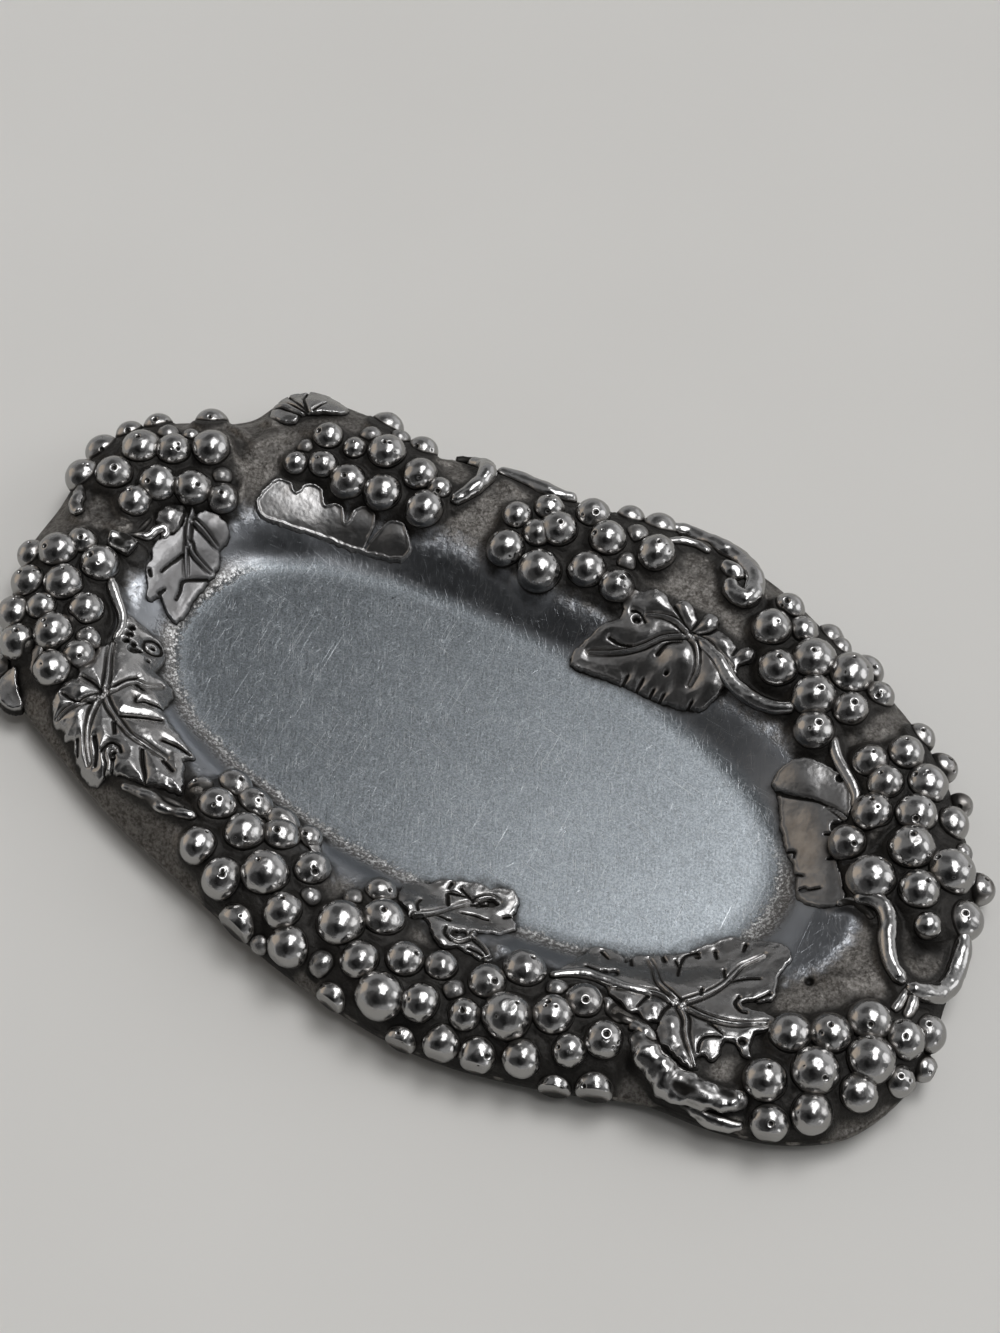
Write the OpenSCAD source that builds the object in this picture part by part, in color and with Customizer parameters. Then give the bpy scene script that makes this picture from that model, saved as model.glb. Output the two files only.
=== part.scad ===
// Oval cast-metal tray with a plain well and a wide rim of grapes and vine leaves.
// Origin: middle of the flat foot. +X runs along the tray, +Z is up.
//
// The ornament is placed in rim coordinates, [angle, across]: the angle runs round
// the oval from +X, and across is 0 at the edge of the well and 1 at the rim's mean
// outer edge. Each grape, leaf and stem is a piece of its own, seated face to face
// on the rim.

/* [Well] */
// Length of the flat well floor
well_l = 137; // [125:1:150]
// Width of the flat well floor
well_w = 60; // [52:1:68]
// Thickness of the well floor
floor_t = 2.5; // [2:0.1:4]

/* [Rim] */
// Mean length over the rim
tray_l = 221; // [210:1:235]
// Mean width over the rim
tray_w = 129; // [120:1:140]
// How square the oval is (2 is a true ellipse)
squareness = 2.36; // [2:0.02:2.7]
// Height of the rim's crest above the table
crest_h = 12; // [10:0.5:15]
// Height of the top of the outer lip above the table
edge_h = 6; // [5:0.5:8]
// Depth of the outer lip
lip_t = 2.5; // [1.5:0.1:3.5]
// Thickness of the rim, measured upright
wall_t = 3; // [2:0.1:4]

/* [Grapes] */
// Diameter of a bud grape
bud_d = 5; // [4:0.1:6]
// Diameter of a small grape
small_d = 6; // [5:0.1:7]
// Diameter of a middling grape
mid_d = 7; // [6:0.1:8]
// Diameter of a large grape
large_d = 8; // [7:0.1:9]
// Diameter of the largest grapes
giant_d = 9.5; // [8.5:0.1:10.5]
// How far a grape's middle stands above the rim, as a share of its diameter
grape_rise = 0.12; // [0:0.01:0.3]

/* [Leaf lengths, from the base to the longest lobe's tip] */
// Scalloped leaf on the back wall of the well, at the left
back_left_leaf_l = 19; // [16:0.5:22]
// Leaf at the outer edge, at the back left
back_left_edge_leaf_l = 11; // [9:0.5:13]
// Leaf on the back wall of the well, at the right
back_right_leaf_l = 27; // [23:0.5:30]
// Leaf at the right end
right_end_leaf_l = 21; // [18:0.5:24]
// Leaf at the front right
front_right_leaf_l = 25; // [21:0.5:28]
// Leaf on the front wall of the well
front_middle_leaf_l = 23; // [20:0.5:26]
// Small scallops above the front left grapes
front_scallops_leaf_l = 13; // [11:0.5:15]
// Leaf at the front left
front_left_leaf_l = 29; // [25:0.5:32]
// Small leaf at the outer edge, at the front left
left_edge_leaf_l = 8; // [6.5:0.5:9.5]
// Leaf at the left end
left_end_leaf_l = 30; // [26:0.5:33]

/* [Leaves and stems] */
// Height of a leaf blade above the rim
leaf_t = 1.3; // [0.8:0.1:2]
// Height of the veins above the leaf blade
vein_h = 0.7; // [0.3:0.1:1.2]
// Width of a vein where it leaves the leaf's base
vein_w = 1.6; // [1:0.1:2.4]
// Depth of the teeth round a leaf
tooth = 0.5; // [0:0.1:1]
// Diameter of the vine stems
stem_d = 3.6; // [2.6:0.1:4.6]
// Diameter of the tendrils
tendril_d = 2.4; // [1.6:0.1:3]
// Height of a stem's middle above the rim, as a share of its diameter
stem_rise = 0.15; // [0:0.01:0.4]

/* [Hidden] */

STEP = 5;            // angle between two ribs of the rim's mesh
INSIDE = -0.34;      // how far the seating patches reach into the well, across
SEAT_DEPTH = 5;      // how far under the table the block that seats a piece reaches

// Rise of the rim: [share of the way out, share of the crest's height over the floor]
EDGE_SHARE = (edge_h - floor_t) / (crest_h - floor_t);
RISE = [
    [0, 0], [0.08, 0.10], [0.16, 0.38], [0.25, 0.63], [0.40, 0.82],
    [0.55, 0.94], [0.70, 1], [0.82, 0.95], [0.92, 0.74], [1, EDGE_SHARE]
];
FOOT_RING = 1;       // entry of RISE above the rim of the foot

// Where the outer edge runs: [angle, across]
EDGE = [
    [0, 0.95], [12, 0.92], [22, 0.94], [32, 0.92], [45, 0.98], [60, 1.02], [66, 1.04],
    [75, 1.13], [83, 1.17], [90, 1.06], [96, 0.96], [104, 0.97], [110, 0.90],
    [114, 0.94], [120, 1.10], [126, 1.16], [132, 1.15], [137, 0.96], [143, 0.95],
    [150, 1.02], [160, 1.05], [167, 1.02], [178, 0.90], [186, 0.90], [194, 0.86],
    [203, 0.88], [212, 0.88], [222, 0.84], [230, 0.79], [240, 0.79], [250, 0.80],
    [258, 0.83], [266, 0.90], [272, 0.97], [280, 1.00], [286, 0.97], [294, 0.92],
    [302, 0.88], [309, 0.86], [316, 0.98], [324, 1.08], [333, 1.14], [343, 1.10],
    [352, 1.05], [360, 0.95]
];

// ---- the rim's surface ----

function signed_pow(v, e) = sign(v) * pow(abs(v), e);
function edge(ang) = lookup(((ang % 360) + 360) % 360, EDGE);
function height(ang, across) =
    floor_t + (crest_h - floor_t) * lookup(across / edge(ang), RISE);
function plan(ang, across) = [
    (well_l + across * (tray_l - well_l)) / 2 * signed_pow(cos(ang), 2 / squareness),
    (well_w + across * (tray_w - well_w)) / 2 * signed_pow(sin(ang), 2 / squareness)
];
// A point above the rim, from [angle, across] and a lift
function on_rim(at, lift = 0) =
    concat(plan(at[0], at[1]), height(at[0], at[1]) + lift);

// Mesh of a strip between rings of points: two triangles for each cell
function cell(a, b, c, d) = [[a, b, c], [a, c, d]];
function joined(lists) = [for (l = lists) each l];

// The rings of the mesh from one share of the rim to another, and one for the well
function rings(near, far) = concat(
    near < 0 ? [INSIDE] : [],
    [for (k = [0:len(RISE) - 1])
        if ((k == len(RISE) - 1 || RISE[k + 1][0] > near)
            && (k == 0 || RISE[k - 1][0] < far)) RISE[k][0]]);

// Sheet that follows the rim between two angles and two shares of its width. Its top
// lies lift above the surface, and its underside on it, or all at one level if given.
module sheet(span, lift, level = undef) {
    outs = rings(span[2], span[3]);
    m = len(outs);
    n = round((span[1] - span[0]) / STEP) + 1;
    function spot(i, k, up) = let (ang = span[0] + i * STEP)
        on_rim([ang, outs[k] * (outs[k] < 0 ? 1 : edge(ang))], up);
    tops = [for (i = [0:n - 1], k = [0:m - 1]) spot(i, k, lift)];
    unders = [for (i = [0:n - 1], k = [0:m - 1]) let (p = spot(i, k, 0))
        [p[0], p[1], is_undef(level) ? p[2] : level]];
    low = n * m;
    function at(i, k) = i * m + k;
    rim_of = concat(
        [for (k = [0:m - 2]) at(0, k)],
        [for (i = [0:n - 2]) at(i, m - 1)],
        [for (k = [m - 1:-1:1]) at(n - 1, k)],
        [for (i = [n - 1:-1:1]) at(i, 0)]
    );
    cells = joined([for (i = [0:n - 2], k = [0:m - 2])
        cell(at(i, k), at(i + 1, k), at(i + 1, k + 1), at(i, k + 1))]);
    sides = joined([for (j = [0:len(rim_of) - 1])
        let (a = rim_of[j], b = rim_of[(j + 1) % len(rim_of)])
        cell(a, b, low + b, low + a)]);
    bottom = is_undef(level) ? [for (f = cells) [low + f[2], low + f[1], low + f[0]]]
        : [[for (j = [len(rim_of) - 1:-1:0]) low + rim_of[j]]];
    polyhedron(concat(tops, unders), concat(cells, sides, bottom));
}

// Trims its children to the rim's surface
module seated(span) {
    difference() {
        children();
        sheet(span, 0, -SEAT_DEPTH);
    }
}

// ---- the tray ----

module tray_body() {
    tops = [for (r = RISE) [r[0], r[1]]];
    m = len(tops);
    n = 360 / STEP;
    function top_ring(k) = [for (i = [0:n - 1]) let (ang = i * STEP)
        on_rim([ang, tops[k][0] * edge(ang)])];
    function under_ring(k) = [for (p = top_ring(k))
        [p[0], p[1], k == FOOT_RING ? 0 : max(p[2] - wall_t, 0)]];
    lip = [for (p = top_ring(m - 1)) [p[0], p[1], p[2] - lip_t]];
    points = concat(
        joined([for (k = [0:m - 1]) top_ring(k)]),
        lip,
        joined([for (k = [m - 2:-1:FOOT_RING]) under_ring(k)])
    );
    rings = 2 * m - FOOT_RING;
    faces = concat(
        joined([for (k = [0:rings - 2], i = [0:n - 1]) let (j = (i + 1) % n)
            cell(k * n + i, k * n + j, (k + 1) * n + j, (k + 1) * n + i)]),
        [[for (i = [n - 1:-1:0]) i]],
        [[for (i = [0:n - 1]) (rings - 1) * n + i]]
    );
    color([0.55, 0.56, 0.57])
    polyhedron(points, faces);
}

// ---- grapes ----
// Each grape is [angle, across, diameter].

BACK_LEFT = [
    [127, 0.76, small_d], [123, 0.71, bud_d], [118, 0.72, large_d], [118, 1.02, mid_d],
    [113, 0.87, small_d], [134, 0.56, bud_d], [129, 0.57, small_d], [125, 0.48, large_d],
    [119, 0.46, large_d], [113, 0.63, mid_d], [112, 0.42, large_d], [110, 0.58, bud_d]
];
BACK_MIDDLE = [
    [99, 0.60, small_d], [96, 0.74, small_d], [92, 0.84, mid_d], [90, 1.00, small_d],
    [88, 1.04, mid_d], [96, 0.55, small_d], [94, 0.63, large_d], [90, 0.72, large_d],
    [86, 0.79, large_d], [99, 0.38, large_d], [94, 0.34, giant_d], [90, 0.48, large_d],
    [87, 0.48, mid_d]
];
BACK_RIGHT = [
    [72, 0.97, small_d], [70, 0.76, large_d], [68, 0.88, small_d], [67, 1.02, small_d],
    [65, 1.00, bud_d], [64, 0.58, large_d], [63, 0.76, giant_d], [59, 0.85, giant_d],
    [61, 1.02, mid_d], [57, 0.59, giant_d], [53, 0.69, mid_d], [55, 0.90, small_d],
    [51, 0.46, large_d]
];
RIGHT_END = [
    [48, 0.96, small_d], [42, 0.59, mid_d], [43, 0.78, mid_d], [43, 0.98, small_d],
    [37, 0.60, mid_d], [37, 0.80, large_d], [36, 0.97, bud_d], [30, 0.48, large_d],
    [30, 0.68, large_d], [30, 0.85, mid_d], [22, 0.33, mid_d], [22, 0.62, giant_d],
    [13, 0.44, giant_d], [13, 0.66, large_d], [19, 0.80, giant_d], [20, 0.95, small_d],
    [12, 0.88, large_d], [7, 0.74, bud_d]
];
FRONT_RIGHT = [
    [335, 0.64, large_d], [341, 0.72, large_d], [348, 0.77, large_d], [354, 0.97, mid_d],
    [350, 0.93, mid_d], [326, 0.83, large_d], [334, 0.85, giant_d], [343, 0.91, giant_d],
    [350, 1.05, bud_d], [345, 1.03, small_d], [338, 1.00, mid_d], [330, 1.01, large_d],
    [324, 1.00, mid_d]
];
FRONT_MID_RIGHT = [
    [288, 0.53, mid_d], [293, 0.37, large_d], [286, 0.75, small_d], [291, 0.68, giant_d],
    [297, 0.59, large_d], [302, 0.46, mid_d], [299, 0.74, small_d], [304, 0.65, mid_d],
    [293, 0.84, mid_d], [288, 0.89, mid_d], [297, 0.89, small_d], [302, 0.85, mid_d]
];
FRONT_MIDDLE = [
    [272, 0.28, small_d], [271, 0.60, giant_d], [274, 0.44, large_d], [274, 0.73, mid_d],
    [278, 0.61, mid_d], [282, 0.55, small_d], [277, 0.85, giant_d], [281, 0.79, mid_d],
    [273, 0.93, small_d], [280, 0.96, small_d], [284, 0.91, mid_d]
];
FRONT_LEFT = [
    [247, 0.37, bud_d], [251, 0.39, mid_d], [248, 0.20, small_d], [253, 0.22, small_d],
    [257, 0.43, large_d], [258, 0.22, small_d], [260, 0.31, mid_d], [262, 0.20, bud_d],
    [255, 0.65, mid_d], [263, 0.57, giant_d], [266, 0.39, mid_d], [260, 0.72, large_d],
    [264, 0.84, large_d], [267, 0.70, mid_d], [269, 0.84, large_d]
];
LEFT_END = [
    [187, 0.68, large_d], [188, 0.82, small_d], [183, 0.60, small_d], [186, 0.46, large_d],
    [194, 0.58, large_d], [195, 0.76, mid_d], [202, 0.80, mid_d], [201, 0.66, small_d],
    [199, 0.44, mid_d], [207, 0.60, large_d], [209, 0.78, mid_d], [207, 0.43, bud_d],
    [212, 0.49, small_d], [216, 0.64, mid_d]
];
LEFT_BACK = [
    [165, 1.00, mid_d], [161, 0.81, large_d], [154, 1.00, small_d], [159, 1.02, small_d],
    [145, 0.96, mid_d], [156, 0.72, mid_d], [149, 0.67, large_d], [169, 0.75, large_d],
    [172, 0.90, large_d], [164, 0.57, large_d], [158, 0.47, large_d], [171, 0.55, mid_d],
    [153, 0.37, small_d]
];

module grapes(bunch) {
    for (g = bunch)
        translate(on_rim([g[0], g[1]], grape_rise * g[2]))
            sphere(d = g[2]);
}

module grape_bunch(bunch, span) {
    color([0.70, 0.71, 0.72])
    seated(span) grapes(bunch);
}

module grape_bunch_back_left() { grape_bunch(BACK_LEFT, [105, 140, 0.2, 1]); }
module grape_bunch_back_middle() { grape_bunch(BACK_MIDDLE, [80, 105, 0.15, 1]); }
module grape_bunch_back_right() { grape_bunch(BACK_RIGHT, [45, 80, 0.25, 1]); }
module grape_bunch_right_end() { grape_bunch(RIGHT_END, [0, 55, 0.15, 1]); }
module grape_bunch_front_right() { grape_bunch(FRONT_RIGHT, [315, 360, 0.4, 1]); }
module grape_bunch_front_mid_right() { grape_bunch(FRONT_MID_RIGHT, [280, 310, 0.25, 1]); }
module grape_bunch_front_middle() { grape_bunch(FRONT_MIDDLE, [265, 290, 0.15, 1]); }
module grape_bunch_front_left() { grape_bunch(FRONT_LEFT, [240, 275, 0.1, 1]); }
module grape_bunch_left_end() { grape_bunch(LEFT_END, [175, 225, 0.3, 1]); }
module grape_bunch_left_back() { grape_bunch(LEFT_BACK, [140, 180, 0.2, 1]); }

// ---- leaves ----
// A leaf has a base in rim coordinates, a length, and lobes of [direction, length,
// width] that spread from the base. Directions are measured in the plan, from +X, and
// a lobe's length and width are shares of the leaf's length.

LOBE_STEPS = 7;

function lobe_half(u, width) = width / 2 * pow(sin(180 * pow(u, 1.25)), 0.75);
function lobe_side(lobe, side) = [for (i = [1:LOBE_STEPS - 1])
    let (u = i / LOBE_STEPS, nick = i % 2 == 0 ? tooth : 0)
    [u * lobe[1], side * (lobe_half(u, lobe[2]) - nick)]];
function reversed(l) = [for (i = [len(l) - 1:-1:0]) l[i]];

module lobe(l) {
    rotate(l[0])
        polygon(concat(
            [[-0.1 * l[2], 0]], lobe_side(l, -1), [[l[1], 0]], reversed(lobe_side(l, 1))));
}

module vein(l) {
    rotate(l[0])
        polygon([[0, -vein_w / 2], [0.85 * l[1], 0], [0, vein_w / 2]]);
}

module leaf(at, size, lobe_shares, span) {
    lobes = [for (l = lobe_shares) [l[0], l[1] * size, l[2] * size]];
    color([0.66, 0.66, 0.66])
    difference() {
        union() {
            intersection() {
                sheet(span, leaf_t);
                translate(plan(at[0], at[1]))
                    linear_extrude(2 * crest_h)
                        for (l = lobes) lobe(l);
            }
            intersection() {
                sheet(span, leaf_t + vein_h);
                translate(plan(at[0], at[1]))
                    linear_extrude(2 * crest_h)
                        for (l = lobes) vein(l);
            }
        }
        children();
    }
}

module leaf_back_left() {
    leaf([133, 0.12], back_left_leaf_l, [[148, 1, 0.53], [121, 0.79, 0.47],
        [95, 0.63, 0.37], [69, 0.74, 0.42], [45, 0.95, 0.47], [15, 0.95, 0.37],
        [172, 0.95, 0.32]], [110, 160, 0, 0.6])
        grapes(BACK_LEFT);
}

module leaf_back_left_edge() {
    leaf([130, 0.92], back_left_edge_leaf_l, [[172, 0.82, 0.55], [140, 0.91, 0.55],
        [100, 0.91, 0.73], [52, 1, 0.73], [20, 0.82, 0.45]], [115, 145, 0.6, 1])
        grapes(BACK_LEFT);
}

module leaf_back_right() {
    leaf([77, 0.52], back_right_leaf_l, [[222, 1, 0.56], [200, 0.70, 0.30],
        [180, 0.63, 0.22], [252, 0.67, 0.41], [282, 0.67, 0.44], [308, 0.74, 0.44],
        [150, 0.44, 0.22], [110, 0.33, 0.22], [68, 0.33, 0.22], [22, 0.52, 0.26]],
        [60, 95, 0, 0.85]) {
        grapes(BACK_MIDDLE);
        grapes(BACK_RIGHT);
        stem(STEM_BACK_RIGHT, stem_d);
    }
}

module leaf_right_end() {
    leaf([32, 0.38], right_end_leaf_l, [[168, 0.81, 0.52], [190, 0.57, 0.38],
        [205, 0.62, 0.43], [235, 0.71, 0.48], [262, 0.86, 0.48], [280, 1, 0.38]],
        [0, 50, 0, 0.6]) {
        grapes(RIGHT_END);
        stem(TENDRIL_RIGHT_END, tendril_d);
    }
}

module leaf_front_right() {
    leaf([320, 0.35], front_right_leaf_l, [[65, 1, 0.84], [105, 0.56, 0.48],
        [150, 0.72, 0.32], [170, 0.88, 0.36], [15, 0.76, 0.28], [340, 0.44, 0.24],
        [312, 0.44, 0.24], [285, 0.40, 0.28], [195, 0.68, 0.24]], [300, 355, -1, 0.7]) {
        grapes(FRONT_MID_RIGHT);
        grapes(FRONT_RIGHT);
        stem(STEM_FRONT_MIDDLE, tendril_d);
        stem(STEM_FRONT_RIGHT, stem_d);
    }
}

module leaf_front_middle() {
    leaf([275, 0.23], front_middle_leaf_l, [[45, 1, 0.57], [75, 0.57, 0.35],
        [22, 0.87, 0.39], [5, 0.83, 0.30], [350, 0.91, 0.26]], [265, 305, -1, 0.5]) {
        grapes(FRONT_MIDDLE);
        grapes(FRONT_MID_RIGHT);
    }
}

module leaf_front_scallops() {
    leaf([252, 0.05], front_scallops_leaf_l, [[210, 0.92, 0.46], [250, 0.54, 0.46],
        [290, 0.54, 0.46], [320, 1, 0.38]], [240, 265, 0, 0.4])
        grapes(FRONT_LEFT);
}

module leaf_front_left() {
    leaf([218, 0.43], front_left_leaf_l, [[339, 1, 0.45], [299, 0.76, 0.28],
        [270, 0.45, 0.21], [245, 0.41, 0.24], [195, 0.31, 0.21], [155, 0.31, 0.21],
        [122, 0.48, 0.24], [85, 0.52, 0.34], [60, 0.66, 0.48], [35, 0.59, 0.31],
        [10, 0.62, 0.31]], [200, 245, 0, 1]) {
        grapes(LEFT_END);
        grapes(FRONT_LEFT);
        stem(STEM_LEFT_END, tendril_d);
        stem(TWIG_FRONT_LEFT, tendril_d);
    }
}

module leaf_left_edge() {
    leaf([216.5, 0.86], left_edge_leaf_l, [[80, 0.94, 0.63], [165, 1, 0.75],
        [205, 0.75, 0.63], [10, 0.88, 0.63], [325, 1, 0.75]], [200, 230, 0.55, 1])
        grapes(LEFT_END);
}

module leaf_left_end() {
    leaf([159, 0.46], left_end_leaf_l, [[296, 1, 0.50], [315, 0.73, 0.30],
        [275, 0.73, 0.30], [245, 0.27, 0.23], [335, 0.43, 0.20]], [145, 200, 0, 0.75]) {
        grapes(LEFT_BACK);
        grapes(LEFT_END);
    }
}

// ---- stems ----
// A stem's path is a list of rim coordinates.

STEM_BACK_LEFT = [[107, 0.94], [105, 0.91], [104, 0.80], [106, 0.63], [108, 0.52]];
STEM_BACK_EDGE = [[103, 0.91], [100, 0.93], [97, 0.91], [94, 0.94]];
STEM_BACK_RIGHT = [[76, 0.53], [70, 0.49], [66, 0.44], [63, 0.44], [61, 0.50]];
SCROLL_BACK_RIGHT = [[87, 1.03], [85, 1.13], [81, 1.12], [77, 1.06], [74, 0.94],
    [75, 0.83], [77, 0.85], [78, 0.94]];
TENDRIL_RIGHT_END = [[47, 0.51], [42, 0.46], [38, 0.44], [34, 0.41]];
VINE_LOOP_RIGHT_END = [[13, 0.51], [8, 0.55], [3, 0.59], [1, 0.65], [0, 0.75], [0, 0.85],
    [2, 0.92], [4, 0.94], [7, 0.92], [11, 0.90]];
STEM_FRONT_RIGHT = [[307, 0.40], [309, 0.50], [310, 0.62], [312, 0.74], [316, 0.80],
    [320, 0.85], [323, 0.85]];
STEM_FRONT_MIDDLE = [[319, 0.32], [313, 0.25], [306, 0.22], [299, 0.25], [296, 0.31]];
TWIG_FRONT_LEFT = [[236, 0.65], [241, 0.57], [246, 0.54], [248, 0.47]];
STEM_LEFT_END = [[184, 0.47], [188, 0.36], [194, 0.30], [201, 0.32]];
TWIG_LEFT_EDGE = [[172, 0.86], [175, 0.83], [177, 0.79], [179, 0.73]];

TUBE_SIDES = 8;
TUBE_RINGS = 3;      // rings for each stretch of a path
TIP_SHARE = 0.55;    // thickness of a stem's ends, as a share of its middle

function spline(p0, p1, p2, p3, t) = 0.5 * (2 * p1 + (p2 - p0) * t
    + (2 * p0 - 5 * p1 + 4 * p2 - p3) * t * t + (3 * p1 - p0 - 3 * p2 + p3) * t * t * t);
function pick(path, i) = path[max(0, min(len(path) - 1, i))];
function run(path) = concat(
    joined([for (i = [0:len(path) - 2]) [for (j = [0:TUBE_RINGS - 1])
        spline(pick(path, i - 1), path[i], path[i + 1], pick(path, i + 2),
            j / TUBE_RINGS)]]),
    [path[len(path) - 1]]);

module stem(path, d) {
    line = [for (at = run(path)) on_rim(at, stem_rise * d)];
    n = len(line);
    function heading(i) = let (v = pick(line, i + 1) - pick(line, i - 1)) v / norm(v);
    function girth(i) = d / 2 * (TIP_SHARE + (1 - TIP_SHARE) * sin(180 * i / (n - 1)));
    function tube_ring(i) = let (
        f = heading(i),
        s = cross(f, [0, 0, 1]) / norm(cross(f, [0, 0, 1])),
        u = cross(s, f)
    ) [for (k = [0:TUBE_SIDES - 1]) let (w = 360 * (k + 0.5) / TUBE_SIDES)
        line[i] + girth(i) * (cos(w) * s + sin(w) * u)];
    points = joined([for (i = [0:n - 1]) tube_ring(i)]);
    faces = concat(
        joined([for (i = [0:n - 2], k = [0:TUBE_SIDES - 1])
            let (j = (k + 1) % TUBE_SIDES, a = i * TUBE_SIDES, b = a + TUBE_SIDES)
            cell(a + j, b + j, b + k, a + k)]),
        [[for (k = [TUBE_SIDES - 1:-1:0]) k]],
        [[for (k = [0:TUBE_SIDES - 1]) (n - 1) * TUBE_SIDES + k]]
    );
    polyhedron(points, faces);
}

module vine(path, d, span) {
    color([0.60, 0.60, 0.61])
    difference() {
        seated(span) stem(path, d);
        children();
    }
}

module stem_back_left() {
    vine(STEM_BACK_LEFT, stem_d, [100, 115, 0.4, 1]) {
        grapes(BACK_LEFT);
        stem(STEM_BACK_EDGE, stem_d);
    }
}

module stem_back_edge() {
    vine(STEM_BACK_EDGE, stem_d, [90, 105, 0.7, 1]) grapes(BACK_MIDDLE);
}

module stem_back_right() {
    vine(STEM_BACK_RIGHT, stem_d, [55, 80, 0.25, 0.7]) grapes(BACK_RIGHT);
}

module scroll_back_right() {
    vine(SCROLL_BACK_RIGHT, stem_d, [70, 90, 0.6, 1]) {
        grapes(BACK_MIDDLE);
        grapes(BACK_RIGHT);
    }
}

module tendril_right_end() {
    vine(TENDRIL_RIGHT_END, tendril_d, [30, 50, 0.25, 0.7]) {
        grapes(RIGHT_END);
        grapes(BACK_RIGHT);
    }
}

module vine_loop_right_end() {
    vine(VINE_LOOP_RIGHT_END, stem_d, [-5, 15, 0.4, 1]) {
        grapes(RIGHT_END);
        grapes(FRONT_RIGHT);
    }
}

module stem_front_right() {
    vine(STEM_FRONT_RIGHT, stem_d, [305, 325, 0.3, 1]) {
        grapes(FRONT_MID_RIGHT);
        grapes(FRONT_RIGHT);
    }
}

module stem_front_middle() {
    vine(STEM_FRONT_MIDDLE, tendril_d, [295, 320, 0.15, 0.5]) grapes(FRONT_MID_RIGHT);
}

module twig_front_left() {
    vine(TWIG_FRONT_LEFT, tendril_d, [235, 250, 0.4, 1]) grapes(FRONT_LEFT);
}

module stem_left_end() {
    vine(STEM_LEFT_END, tendril_d, [180, 205, 0.2, 0.7]) grapes(LEFT_END);
}

module twig_left_edge() {
    vine(TWIG_LEFT_EDGE, stem_d, [170, 180, 0.7, 1]) {
        grapes(LEFT_BACK);
        grapes(LEFT_END);
    }
}

// ---- the nodes ----

tray_body();
grape_bunch_back_left();
grape_bunch_back_middle();
grape_bunch_back_right();
grape_bunch_right_end();
grape_bunch_front_right();
grape_bunch_front_mid_right();
grape_bunch_front_middle();
grape_bunch_front_left();
grape_bunch_left_end();
grape_bunch_left_back();
leaf_back_left();
leaf_back_left_edge();
leaf_back_right();
leaf_right_end();
leaf_front_right();
leaf_front_middle();
leaf_front_scallops();
leaf_front_left();
leaf_left_edge();
leaf_left_end();
stem_back_left();
stem_back_edge();
stem_back_right();
scroll_back_right();
tendril_right_end();
vine_loop_right_end();
stem_front_right();
stem_front_middle();
twig_front_left();
stem_left_end();
twig_left_edge();
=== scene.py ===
"""Oval cast-metal tray with a brushed well and a wide rim of grapes and vine leaves.

Lengths are in millimetres until a mesh is made, which turns them into metres. Grapes are
placed in rim coordinates: the angle in degrees, and how far across the rim they are, from
0 at the well to 1 at the rim's mean edge. Stems, leaves and lumps are drawn in plan (x, y).
"""
import math
from dataclasses import dataclass

import bpy
import numpy as np
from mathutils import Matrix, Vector


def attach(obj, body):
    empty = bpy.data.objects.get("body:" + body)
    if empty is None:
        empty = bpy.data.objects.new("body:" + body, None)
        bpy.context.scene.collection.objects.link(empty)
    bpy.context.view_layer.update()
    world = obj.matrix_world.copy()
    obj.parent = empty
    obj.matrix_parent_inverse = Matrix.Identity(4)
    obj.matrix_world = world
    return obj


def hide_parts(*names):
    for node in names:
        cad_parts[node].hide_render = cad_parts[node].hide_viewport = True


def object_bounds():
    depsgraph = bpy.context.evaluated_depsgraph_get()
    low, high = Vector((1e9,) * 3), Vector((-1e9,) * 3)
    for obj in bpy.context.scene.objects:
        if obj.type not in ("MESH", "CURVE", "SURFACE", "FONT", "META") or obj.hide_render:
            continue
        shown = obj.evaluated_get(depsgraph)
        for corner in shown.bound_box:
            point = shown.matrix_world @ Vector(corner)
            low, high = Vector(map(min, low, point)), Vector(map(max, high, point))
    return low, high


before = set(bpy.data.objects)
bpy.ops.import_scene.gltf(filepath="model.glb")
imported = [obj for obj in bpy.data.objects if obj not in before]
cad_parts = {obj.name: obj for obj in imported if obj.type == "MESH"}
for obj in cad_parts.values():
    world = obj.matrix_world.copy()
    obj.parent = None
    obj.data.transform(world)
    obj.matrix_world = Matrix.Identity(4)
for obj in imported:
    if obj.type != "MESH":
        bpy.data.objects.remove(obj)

CAD_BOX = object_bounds()
MM = 0.001

# ---- the tray's main sizes, which repeat those of the CAD model ----

WELL_L, WELL_W = 137.0, 60.0        # flat floor of the well
FLOOR_T = 2.5                       # height of the well's floor above the table
TRAY_L, TRAY_W = 221.0, 129.0       # mean size over the rim
SQUARENESS = 2.36                   # power of the oval; 2 would be an ellipse
CREST_H, EDGE_H = 12.0, 6.0         # heights of the rim's crest and outer edge
LIP_T, WALL_T = 2.5, 3.0
FOOT_SHARE = 0.08                   # where the rim of the foot is, across the rim

# Rise of the rim: share of the way out, and share of the crest's height over the floor
RISE = [(0, 0), (0.08, 0.10), (0.16, 0.38), (0.25, 0.63), (0.40, 0.82), (0.55, 0.94),
        (0.70, 1), (0.82, 0.95), (0.92, 0.74), (1, (EDGE_H - FLOOR_T) / (CREST_H - FLOOR_T))]

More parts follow.
